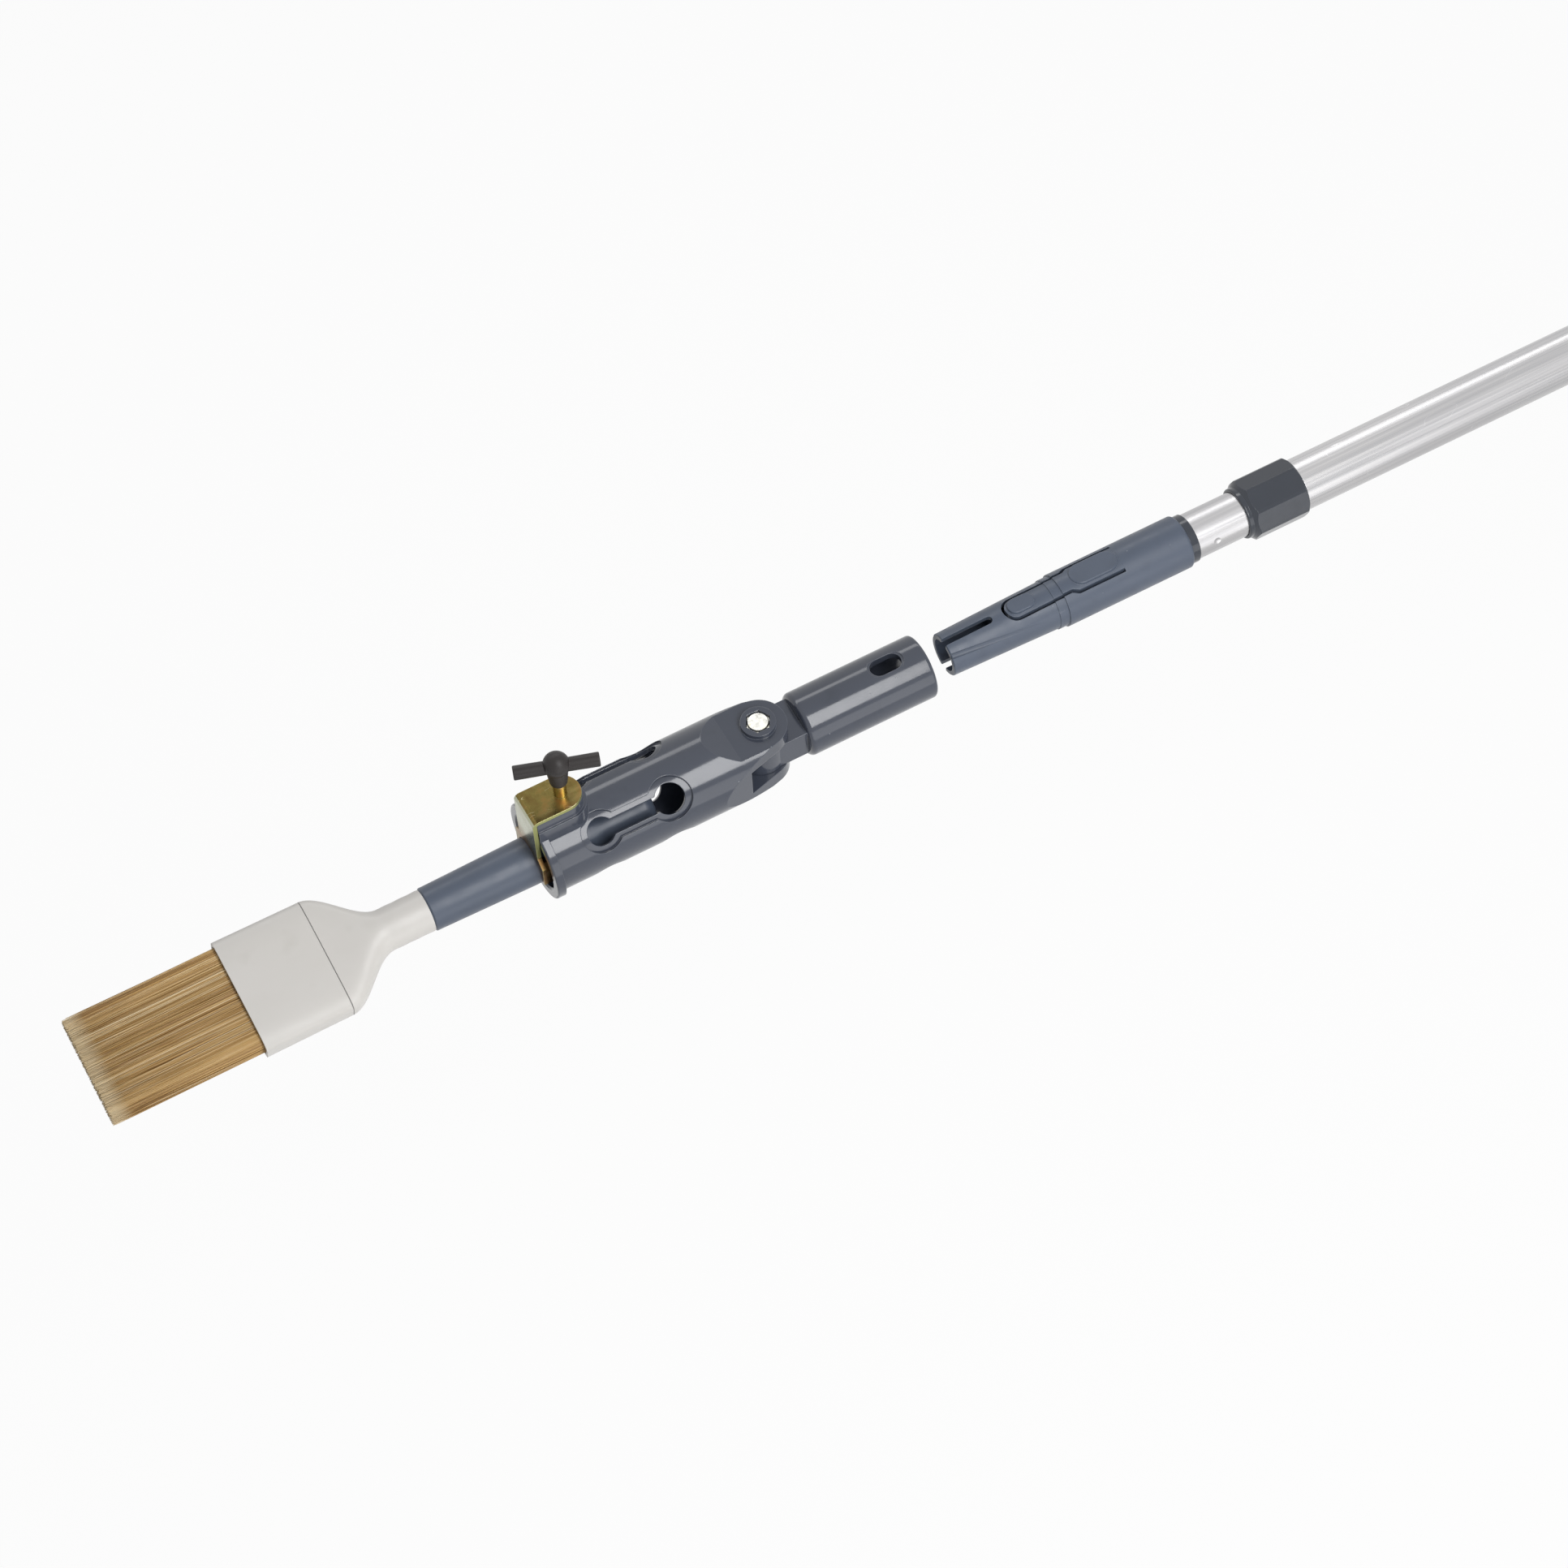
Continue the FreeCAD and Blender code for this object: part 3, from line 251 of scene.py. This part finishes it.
    def bump(self, height, depth, normal=None):
        """Raise the surface by depth metres over height's range."""
        inputs = {"Height": height, "Distance": depth, "Strength": 1.0}
        if normal is not None:
            inputs["Normal"] = normal
        return self.add("ShaderNodeBump", inputs).outputs[0]

    def joint(self, at):
        """A thin line round the pole at a place along it."""
        away = self.math("ABSOLUTE", self.math("SUBTRACT", self.place()[0], at))
        return self.span(away, JOINT_WIDTH, 0.0)

    def flute(self):
        """How deep a point lies in the cone's near flute: 1 at its deepest, 0 outside it and past its end."""
        x, y, z = self.place()
        round_pole = self.math("ARCTAN2", self.times(y, -1.0), z)
        middle = self.span(x, 0.0, FLUTE_LENGTH, *FLUTE_ANGLES)
        aside = self.times(self.math("SUBTRACT", round_pole, middle), CONE_RADIUS)
        across = self.math("SUBTRACT", FLUTE_RADIUS ** 2, self.times(aside, aside))
        arc = self.math("SQRT", self.math("MAXIMUM", across, 0.0))
        bottom = self.span(x, 0.0, FLUTE_LENGTH, FLUTE_RADIUS - FLUTE_DEPTH, FLUTE_RADIUS)
        return self.math("DIVIDE", self.math("MAXIMUM", self.math("SUBTRACT", arc, bottom), 0.0), FLUTE_DEPTH)

    def finish(self, colour, rough, normal):
        for socket, value in (("Base Color", colour), ("Roughness", rough), ("Normal", normal)):
            self.feed(self.shader, socket, value)
        return self.material


# ---------------------------------------------------------------- finishes

# The next values place the painted highlights on the bracket.
# Past this place along the pole the bracket is its flat flange, and above this height it isn't its ring.
FLANGE_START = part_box("clamp_bracket")[0][0] + 5 * MM
LEG_FOOT = 8.5 * MM
# Parts of a face's normal: it is upright below the first, and looks sideways or ahead above the others.
UPRIGHT, SIDEWAYS, AHEAD = 0.35, 0.75, 0.7


def moulded_plastic(name, tones, rough, grain, waviness, dust, edge_tone, edge_radius=0.35 * MM,
                    shine=0.5, joint=None, fluted=False):
    """Injection moulded plastic: faint flow shades, a grain, waves in the gloss, rubbed edges and dust.

    tones are its plain, light and dark colours, grain and waviness are depths of relief, dust is the
    chance of a speck, and joint is the place of a joint line along the pole.
    """
    plain, light, dark = tones
    skin = Finish(name, Specular_IOR_Level=shine)
    soft, edge = skin.edges(edge_radius)
    flow = skin.noise(38, 3.0, (0.35, 1, 1))
    mottle = skin.noise(95)
    rubbing = skin.noise(420)
    haze = skin.noise(160, 3.0)
    waves = skin.noise(55, 1.0)
    pores = skin.noise(3200)
    specks = skin.specks(per_metre=210, size=0.055, chance=dust)
    scuffs = skin.scratches(scale=55, stretch=(1, 2.5, 2.5), width=0.0035, cover=0.42)

    tone = skin.mix(skin.span(flow, 0.35, 0.75), srgb(plain), srgb(light))
    tone = skin.cloud(tone, mottle, 0.58, 0.8, 0.55, dark)
    tone = skin.mix(skin.times(edge, skin.between(rubbing, 0.15, 0.75)), tone, srgb(edge_tone))
    tone = skin.tint(tone, specks, 0.75, "a9adb4")

    gloss = skin.between(haze, rough * 0.85, rough * 1.2)
    gloss = skin.raised(gloss, scuffs, 0.16)
    gloss = skin.raised(gloss, specks, 0.35)

    relief = skin.bump(waves, waviness, soft)
    relief = skin.bump(pores, grain, relief)
    relief = skin.bump(specks, 0.03 * MM, relief)
    if joint is not None:
        line = skin.joint(joint)
        tone = skin.tint(tone, line, 0.45, "8d8a86")
        relief = skin.bump(line, -JOINT_WIDTH, relief)
    if fluted:
        hollow = skin.flute()
        # Painted shade: the flute is painted darker the deeper it lies, on top of its bump relief.
        tone = skin.tint(tone, hollow, 0.6, dark)
        relief = skin.bump(hollow, -FLUTE_DEPTH, relief)
    return skin.finish(tone, gloss, relief)


def drawn_aluminium(name):
    """Tube drawn and anodised: fine lines along it, cloudy sheen, a few scratches."""
    skin = Finish(name, Metallic=1.0, Anisotropic=0.35)
    soft, edge = skin.edges(0.15 * MM)
    lines = skin.noise(900, 3.0, (0.008, 1, 1))
    sheen = skin.noise(30, 3.0, (0.4, 1, 1))
    nicks = skin.scratches(scale=70, stretch=(0.5, 2.2, 2.2), width=0.003, cover=0.5)

    tone = skin.ramp(skin.between(lines, 0.0, 1.0), (0.0, "b4b4b6"), (0.55, "bebdbe"), (1.0, "c8c7c7"))
    tone = skin.cloud(tone, sheen, 0.5, 0.8, 0.4, "a6a5a7")
    tone = skin.tint(tone, edge, 0.6, "eeeeee")
    tone = skin.tint(tone, nicks, 0.5, "f2f2f2")

    gloss = skin.between(lines, 0.22, 0.29)
    gloss = skin.math("ADD", gloss, skin.span(sheen, 0.4, 0.8, 0.0, 0.08))
    return skin.finish(tone, gloss, skin.bump(lines, 0.0012 * MM, soft))


def yellow_zinc(name):
    """Yellow passivated zinc: gold with brown, green and rose shades and scratches, and painted highlights on
    the bracket's sheet edges and on its leg's front.
    """
    skin = Finish(name, Metallic=1.0)
    soft, edge = skin.edges(0.25 * MM)
    shades = skin.noise(85, 4.0, (1.0, 0.7, 0.7), 0.6)
    streaks = skin.noise(240, 3.0, (0.15, 1, 1))
    blush = skin.noise(48, 1.0)
    dents = skin.noise(700, 3.0)
    marks = skin.scratches(scale=120, stretch=(1, 1.8, 1), width=0.006, cover=0.5)
    sheet_edge_highlight, leg_front_highlight = bracket_highlight_masks(skin)

    tone = skin.ramp(skin.span(shades, 0.28, 0.74), (0.0, "4f4226"), (0.25, "6b5a33"), (0.45, "716539"),
                     (0.6, "7c653a"), (0.78, "85603b"), (1.0, "625d38"))
    tone = skin.cloud(tone, streaks, 0.5, 0.8, 0.6, "978559")
    tone = skin.cloud(tone, blush, 0.6, 0.75, 0.45, "8a5a3c")
    # Painted highlights: pale colour on the bracket's sheet edges and on its leg's front.
    tone = skin.tint(tone, sheet_edge_highlight, 0.85, "b3b87a")
    tone = skin.tint(tone, leg_front_highlight, 0.75, "b8bda9")
    tone = skin.tint(tone, marks, 0.8, "cfc6a4")
    tone = skin.tint(tone, edge, 0.5, "c4c08c")

    gloss = skin.raised(skin.between(shades, 0.2, 0.36), sheet_edge_highlight, 0.12)
    relief = skin.bump(dents, 0.012 * MM, soft)
    return skin.finish(tone, gloss, skin.bump(marks, -0.03 * MM, relief))


def bracket_highlight_masks(skin):
    """Masks of the bracket's painted highlights: on its sheet edges and on its leg's front."""
    normal = skin.add("ShaderNodeNewGeometry").outputs["Normal"]
    normal_x, normal_y, normal_z = skin.add("ShaderNodeSeparateXYZ", {0: normal}).outputs
    along, _, height = skin.place()
    upright = skin.math("LESS_THAN", skin.math("ABSOLUTE", normal_z), UPRIGHT)
    sideways = skin.math("GREATER_THAN", skin.math("ABSOLUTE", normal_y), SIDEWAYS)
    flange = skin.math("GREATER_THAN", along, FLANGE_START)
    leg = skin.math("GREATER_THAN", height, LEG_FOOT)
    sheet_edge_highlight = skin.times(skin.times(upright, leg), skin.math("MAXIMUM", sideways, flange))
    fading = skin.span(height, LEG_FOOT, LEG_FOOT * 2)
    return sheet_edge_highlight, skin.times(skin.math("LESS_THAN", normal_x, -AHEAD), fading)


def plated_screw(name):
    """A turned screw in yellow zinc with a painted highlight: silver where it faces the eye, gold towards its
    sides.
    """
    skin = Finish(name, Metallic=1.0)
    facing = skin.add("ShaderNodeLayerWeight", {"Blend": 0.35}).outputs["Facing"]
    shades = skin.noise(260, 3.0)
    turned_rings = skin.noise(1500, 1.0, (0.05, 0.05, 1))
    # Painted highlight: the colour goes from silver to gold as the surface turns away from the eye.
    tone = skin.ramp(facing, (0.0, "efece0"), (0.3, "ddd3a4"), (0.55, "b9a35c"), (0.85, "86713a"))
    tone = skin.cloud(tone, shades, 0.55, 0.8, 0.5, "b2ac7c")
    return skin.finish(tone, skin.between(shades, 0.16, 0.3), skin.bump(turned_rings, 0.01 * MM))


def bright_zinc(name):
    """Bright zinc: cloudy silver with faint blue and straw shades, and small dents."""
    skin = Finish(name, Metallic=1.0)
    soft, edge = skin.edges(0.3 * MM)
    shades = skin.noise(420, 4.0, rough=0.6)
    tone = skin.ramp(skin.between(shades, 0.0, 1.0), (0.0, "c6c5bf"), (0.35, "deddd6"), (0.7, "e9e8e0"),
                     (1.0, "d3ceba"))
    tone = skin.tint(tone, edge, 0.5, "e8e7e0")
    return skin.finish(tone, skin.between(shades, 0.24, 0.42), skin.bump(skin.noise(900), 0.02 * MM, soft))


def bristle_strand(name):
    """Tapered filaments: each its own shade, darker at the root and paler at the tip, with a silky sheen."""
    skin = Finish(name, Specular_IOR_Level=0.45)
    shade = skin.add("ShaderNodeAttribute", attribute_name="shade")
    own, reach, _ = skin.add("ShaderNodeSeparateColor", {0: shade.outputs["Color"]}).outputs
    tone = skin.ramp(own, (0.0, "956f3c"), (0.3, "b69056"), (0.55, "cdaa6e"), (0.8, "dfc391"),
                     (1.0, "eedcb8"))
    tone = skin.cloud(tone, reach, 0.9, 0.97, 0.7, "ecdcb8")
    tone = skin.cloud(tone, reach, 0.12, 0.0, 0.55, "7a5a30")
    gloss = skin.between(skin.noise(900, 1.0), 0.36, 0.52)
    return skin.finish(tone, gloss, skin.bump(skin.noise(2400, 1.0, (0.1, 1, 1)), 0.01 * MM))


def bristle_mass(name, dark, light):
    """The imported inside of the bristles, streaked along them."""
    skin = Finish(name)
    streaks = skin.noise(1300, 2.0, (0.01, 1, 1))
    tone = skin.mix(skin.span(streaks, 0.35, 0.65), srgb(dark), srgb(light))
    return skin.finish(tone, skin.between(streaks, 0.55, 0.75), skin.bump(streaks, 0.2 * MM))


SATIN = {"tones": ("525b6a", "586171", "4b5361"), "rough": 0.36, "grain": 0.004 * MM,
         "waviness": 0.03 * MM, "dust": 0.1, "edge_radius": 0.4 * MM, "shine": 0.4}
PLASTICS = {
    "slate_gloss": {"tones": ("444955", "4a4f5b", "3d424d"), "rough": 0.13, "grain": 0.0005 * MM,
                    "waviness": 0.03 * MM, "dust": 0.16, "edge_tone": "646a76", "edge_radius": 0.5 * MM},
    "slate_satin": {**SATIN, "edge_tone": "6f7785"},
    "slate_fluted": {**SATIN, "edge_tone": "757d8b", "fluted": True},
    "slate_dark": {"tones": ("31363f", "373c46", "2c3139"), "rough": 0.15, "grain": 0.001 * MM,
                   "waviness": 0.02 * MM, "dust": 0.1, "edge_tone": "596170", "edge_radius": 0.2 * MM},
    "black_plastic": {"tones": ("2d2a2a", "353130", "272424"), "rough": 0.42, "grain": 0.008 * MM,
                      "waviness": 0.05 * MM, "dust": 0.14, "edge_tone": "5a5453", "shine": 0.3},
    "white_plastic": {"tones": ("dad7d2", "dedbd7", "d3d0ca"), "rough": 0.38, "grain": 0.003 * MM,
                      "waviness": 0.03 * MM, "dust": 0.0, "edge_tone": "e6e4e0", "edge_radius": 0.3 * MM,
                      "joint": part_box("brush_ferrule")[1][0]},
}
METALS = {"aluminium_tube": drawn_aluminium, "yellow_zinc": yellow_zinc, "plated_screw": plated_screw,
          "bright_zinc": bright_zinc}
# Pieces whose finish differs from their material slot's: a screw with a painted highlight, the cone with its
# flute relief and painted shade, and a collar darker than the other glossy plastic.
OWN_FINISH = {"clamp_screw": "plated_screw", "cone_adapter": "slate_fluted", "collar_nut": "slate_dark"}


def dress_solids():
    """Give each CAD node its finish; the bristles' block is replaced below."""
    finishes = {name: moulded_plastic(name, **look) for name, look in PLASTICS.items()}
    finishes.update({name: make(name) for name, make in METALS.items()})
    finishes["resin"] = bristle_mass("resin", "6b5231", "8a6d42")
    for row in frame["record"]["subparts"]:
        look = OWN_FINISH.get(row["node"], row["material_slot"])
        if look in finishes:
            for slot in frame["nodes"][row["node"]].material_slots:
                slot.material = finishes[look]


dress_solids()

# ---------------------------------------------------------------- bristles

BRUSH_TURN = math.radians(14.5)
# Half the pack's width and half its thickness, at its root and at its tip.
ROOT_HALF = (25.6 * MM, 6.5 * MM)
TIP_HALF = (25.3 * MM, 5.6 * MM)
# The power of the rounded oblong that the pack's section is, and how far out filaments stand in it.
SQUARENESS = 5.0
PACK_EDGE = 0.985
# Rows of filaments at both faces, from the outside in: how far out each lies, and how many it has.
FACE_ROWS = ((0.985, 176), (0.95, 168), (0.9, 160), (0.84, 120))
ROW_DEPTH = 0.06
# Filaments at the two sides and inside, with how far out they reach across the width and the thickness.
SIDE_COUNT, SIDE_REACH_UP = 110, 0.95
INSIDE_COUNT, INSIDE_REACH, INSIDE_REACH_UP = 1500, 0.96, 0.8
INSIDE_LAYER = 3

FILAMENT_SIDES = 4
FILAMENT_RINGS = 7
FILAMENT_RADIUS = (0.13 * MM, 0.19 * MM)
INSIDE_THICKER = 1.25
TIP_TAPER = 0.45
# How filaments differ: in length, with a few that are clearly short, in shade, and in how they bend; each row
# deeper in the pack also gets a painted shade.
LENGTH_SPREAD = 0.008
SHORT_CHANCE, SHORT_BY = 0.06, 0.02
TINT_START, TINT_CLUMPS, TINT_SPREAD, PAINTED_SHADE_PER_LAYER = 0.34, 0.24, 0.25, 0.05
CLUMP_WAVES, CLUMP_DRIFT, CLUMP_UNEVEN = 41, 17, 2.0
SWAY_ACROSS, SWAY_UP, SWAY_POWER, BOW = 0.02, 0.03, 1.5, 0.01

CORE_RINGS = 9
CORE_STEPS = 48
# The core's share of the pack's length, of its section, and what its last stretch loses.
CORE_REACH = 0.93
CORE_SHARE = 0.9
CORE_THINNER = 0.08
CORE_TAPER_START, CORE_TAPER = 0.85, 0.25

bristle_low, bristle_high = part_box("bristles")
BRUSH_AXIS = Vector((0, 0, (bristle_low[2] + bristle_high[2]) / 2))
ROOT_X = bristle_high[0]
TIP_X = bristle_low[0]
draw = random.Random(50)


def brush_point(x, across, up):
    """A point of the brush: across its width and up from its middle plane, turned as the brush is."""
    y = across * math.cos(BRUSH_TURN) - up * math.sin(BRUSH_TURN)
    z = across * math.sin(BRUSH_TURN) + up * math.cos(BRUSH_TURN)
    return Vector((x, y, z)) + BRUSH_AXIS


def half_sizes(share):
    """Half width and half thickness of the bristle pack, from its root (0) to its tip (1)."""
    return tuple(root + (tip - root) * share for root, tip in zip(ROOT_HALF, TIP_HALF))


def rim_factor(u, v):
    """How far (u, v), from -1 to 1 each, lies out in a rounded oblong: 1 on its outline."""
    return (abs(u) ** SQUARENESS + abs(v) ** SQUARENESS) ** (1 / SQUARENESS)


def held(value, low, high):
    return min(high, max(low, value))


def filament_spots():
    """Where filaments stand in the pack's section: rows at both faces and sides, looser inside."""
    spots = []
    for layer, (reach, count) in enumerate(FACE_ROWS):
        for side in (-1, 1):
            for index in range(count):
                u = -1 + 2 * (index + draw.uniform(0.1, 0.9)) / count
                spots.append((u * PACK_EDGE, side * (reach - draw.uniform(0, ROW_DEPTH)), layer))
    for side in (-1, 1):
        for _ in range(SIDE_COUNT):
            u = side * (1 - draw.uniform(0.01, ROW_DEPTH))
            spots.append((u, draw.uniform(-SIDE_REACH_UP, SIDE_REACH_UP), 0))
    for _ in range(INSIDE_COUNT):
        u = draw.uniform(-INSIDE_REACH, INSIDE_REACH)
        spots.append((u, draw.uniform(-INSIDE_REACH_UP, INSIDE_REACH_UP), INSIDE_LAYER))
    kept = []
    for u, v, layer in spots:
        out = rim_factor(u, v)
        scale = PACK_EDGE / out if out > PACK_EDGE else 1.0
        kept.append((u * scale, v * scale, layer))
    return kept


def filament(u, v, layer):
    """The points of one filament, ring by ring from its root, and their shades."""
    length = 1 - abs(draw.gauss(0, LENGTH_SPREAD)) - (SHORT_BY if draw.random() < SHORT_CHANCE else 0.0)
    clump = 0.5 + 0.5 * math.sin(u * CLUMP_WAVES + math.sin(u * CLUMP_DRIFT + v) * CLUMP_UNEVEN)
    # Rows deeper in the pack take a painted shade.
    tint = TINT_START + TINT_CLUMPS * clump + draw.gauss(0, TINT_SPREAD) - PAINTED_SHADE_PER_LAYER * layer
    radius = draw.uniform(*FILAMENT_RADIUS) * (INSIDE_THICKER if layer == INSIDE_LAYER else 1.0)
    sway_u, sway_v = draw.gauss(0, SWAY_ACROSS), draw.gauss(0, SWAY_UP)
    bow = draw.gauss(0, BOW)
    spin = draw.uniform(0, math.pi)
    points, shades = [], []
    for ring in range(FILAMENT_RINGS):
        share = ring / (FILAMENT_RINGS - 1)
        reach = share * length
        half_width, half_thickness = half_sizes(reach)
        swung = share ** SWAY_POWER
        across = held(u + sway_u * swung + bow * math.sin(share * math.pi), -1, 1) * half_width
        up = held(v + sway_v * swung, -1, 1) * half_thickness
        thick = radius * (1 - TIP_TAPER * share ** 2)
        x = ROOT_X + (TIP_X - ROOT_X) * reach
        for side in range(FILAMENT_SIDES):
            angle = spin + 2 * math.pi * side / FILAMENT_SIDES
            points.append(brush_point(x, across + thick * math.cos(angle), up + thick * math.sin(angle)))
            shades.append((held(tint, 0, 1), share, 0, 1))
    return points, shades


def filament_faces(first):
    """The faces of a filament whose points start at first: its sides, its root and its tip."""
    faces = []
    for ring in range(FILAMENT_RINGS - 1):
        low = first + ring * FILAMENT_SIDES
        high = low + FILAMENT_SIDES
        for side in range(FILAMENT_SIDES):
            after = (side + 1) % FILAMENT_SIDES
            faces.append((low + side, high + side, high + after, low + after))
    tip = first + (FILAMENT_RINGS - 1) * FILAMENT_SIDES
    faces.append(tuple(first + side for side in range(FILAMENT_SIDES)))
    faces.append(tuple(tip + side for side in reversed(range(FILAMENT_SIDES))))
    return faces


def add_piece(name, points, faces, material):
    """A piece of the brush, from its points and faces."""
    mesh = bpy.data.meshes.new(name)
    mesh.from_pydata(points, [], faces)
    mesh.materials.append(material)
    piece = bpy.data.objects.new(name, mesh)
    scene.collection.objects.link(piece)
    return piece


def add_bristles():
    points, faces, shades = [], [], []
    for u, v, layer in filament_spots():
        faces += filament_faces(len(points))
        new_points, new_shades = filament(u, v, layer)
        points += new_points
        shades += new_shades
    piece = add_piece("bristle_filaments", points, faces, bristle_strand("bristle"))
    paint = piece.data.color_attributes.new("shade", "FLOAT_COLOR", "POINT")
    paint.data.foreach_set("color", [part for shade in shades for part in shade])
    return piece


def add_core():
    """The dense inside of the pack, a little smaller and shorter than the filaments round it, painted darker
    than them as shade deep in the pack.
    """
    points, faces = [], []
    for ring in range(CORE_RINGS):
        share = ring / (CORE_RINGS - 1)
        reach = share * CORE_REACH
        half_width, half_thickness = half_sizes(reach)
        shrink = CORE_SHARE - CORE_TAPER * max(0, share - CORE_TAPER_START)
        x = ROOT_X + (TIP_X - ROOT_X) * reach
        for step in range(CORE_STEPS):
            angle = 2 * math.pi * step / CORE_STEPS
            u, v = math.cos(angle), math.sin(angle)
            out = rim_factor(u, v)
            points.append(brush_point(x, u / out * half_width * shrink,
                                      v / out * half_thickness * (shrink - CORE_THINNER)))
    for ring in range(CORE_RINGS - 1):
        low = ring * CORE_STEPS
        high = low + CORE_STEPS
        for step in range(CORE_STEPS):
            after = (step + 1) % CORE_STEPS
            faces.append((low + step, low + after, high + after, high + step))
    faces.append(tuple(reversed(range(CORE_STEPS))))
    faces.append(tuple((CORE_RINGS - 1) * CORE_STEPS + step for step in range(CORE_STEPS)))
    # The core's colours are darker than the filaments': painted shade deep in the pack.
    return add_piece("bristle_core", points, faces, bristle_mass("bristle_packed_shade", "7a5a30", "a88448"))


filaments = add_bristles()
core = add_core()
for piece in (filaments, core):
    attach(piece, "brush")
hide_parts("bristles")

# ---------------------------------------------------------------- light and floor

FLOOR_DROP = 0.45
FLOOR_SIZE = 12.0
FLOOR_TONE = (0.9, 0.9, 0.9, 1)
FLOOR_ROUGHNESS = 0.9
# How much of the floor is plain white to the camera; the rest keeps the shadow.
FLOOR_SHOWN = 0.93
# The world's strength as a lamp, and as the camera and gloss see it.
WORLD_LIGHT, WORLD_SHOWN = 0.24, 1.0
# Directions square to the pole: towards the lens, and up from there.
TOWARDS_LENS = Vector((0, BACK.y, BACK.z)).normalized()
UPWARDS = POLE_AXIS.cross(TOWARDS_LENS) * -1


def softbox(name, angle, distance, place, size, watts):
    """A lamp facing the pole's axis: turned round it from the lens side, in degrees, and placed along it."""
    lamp = bpy.data.lights.new(name, "AREA")
    lamp.shape = "RECTANGLE"
    lamp.size, lamp.size_y = size
    lamp.energy = watts
    turn = math.radians(angle)
    out = TOWARDS_LENS * math.cos(turn) + UPWARDS * math.sin(turn)
    box = bpy.data.objects.new(name, lamp)
    box.matrix_world = (Matrix.Translation(POLE_AXIS * place + out * distance)
                        @ turned(POLE_AXIS, out.cross(POLE_AXIS), out))
    scene.collection.objects.link(box)


def shown_share(tree):
    """1 for what the camera sees, straight or in gloss and glass, otherwise 0."""
    path = tree.nodes.new("ShaderNodeLightPath")
    total = path.outputs["Is Camera Ray"]
    for name in ("Is Glossy Ray", "Is Transmission Ray"):
        join = tree.nodes.new("ShaderNodeMath")
        join.operation = "MAXIMUM"
        tree.links.new(total, join.inputs[0])
        tree.links.new(path.outputs[name], join.inputs[1])
        total = join.outputs[0]
    return total


def add_world():
    world = bpy.data.worlds.new("studio")
    scene.world = world
    world.use_nodes = True
    tree = world.node_tree
    background = tree.nodes["Background"]
    strength = tree.nodes.new("ShaderNodeMapRange")
    strength.inputs["To Min"].default_value = WORLD_LIGHT
    strength.inputs["To Max"].default_value = WORLD_SHOWN
    tree.links.new(shown_share(tree), strength.inputs["Value"])
    tree.links.new(strength.outputs[0], background.inputs["Strength"])
    background.inputs["Color"].default_value = (1, 1, 1, 1)


def floor_paper():
    """Pale paper that takes the light and the shadow, and looks almost white."""
    material = bpy.data.materials.new("floor_paper")
    material.use_nodes = True
    tree = material.node_tree
    shader = tree.nodes["Principled BSDF"]
    shader.inputs["Base Color"].default_value = FLOOR_TONE
    shader.inputs["Roughness"].default_value = FLOOR_ROUGHNESS
    shown = tree.nodes.new("ShaderNodeEmission")
    blend = tree.nodes.new("ShaderNodeMixShader")
    share = tree.nodes.new("ShaderNodeMath")
    share.operation = "MULTIPLY"
    share.inputs[1].default_value = FLOOR_SHOWN
    tree.links.new(shown_share(tree), share.inputs[0])
    tree.links.new(share.outputs[0], blend.inputs[0])
    tree.links.new(shader.outputs[0], blend.inputs[1])
    tree.links.new(shown.outputs[0], blend.inputs[2])
    tree.links.new(blend.outputs[0], tree.nodes["Material Output"].inputs["Surface"])
    return material


def add_floor():
    low = cad_box[0][2] - FLOOR_DROP
    half = FLOOR_SIZE / 2
    mesh = bpy.data.meshes.new("floor")
    mesh.from_pydata([(-half, -half, low), (half, -half, low), (half, half, low), (-half, half, low)],
                     [], [(0, 1, 2, 3)])
    mesh.materials.append(floor_paper())
    floor = bpy.data.objects.new("floor", mesh)
    scene.collection.objects.link(floor)


add_world()
add_floor()
softbox("overhead", angle=77, distance=1.3, place=0.1, size=(1.7, 0.27), watts=4.4)
softbox("front", angle=-8, distance=1.4, place=0.15, size=(0.5, 1.0), watts=12.5)
softbox("fill", angle=-60, distance=1.2, place=-0.05, size=(1.5, 0.7), watts=4.5)
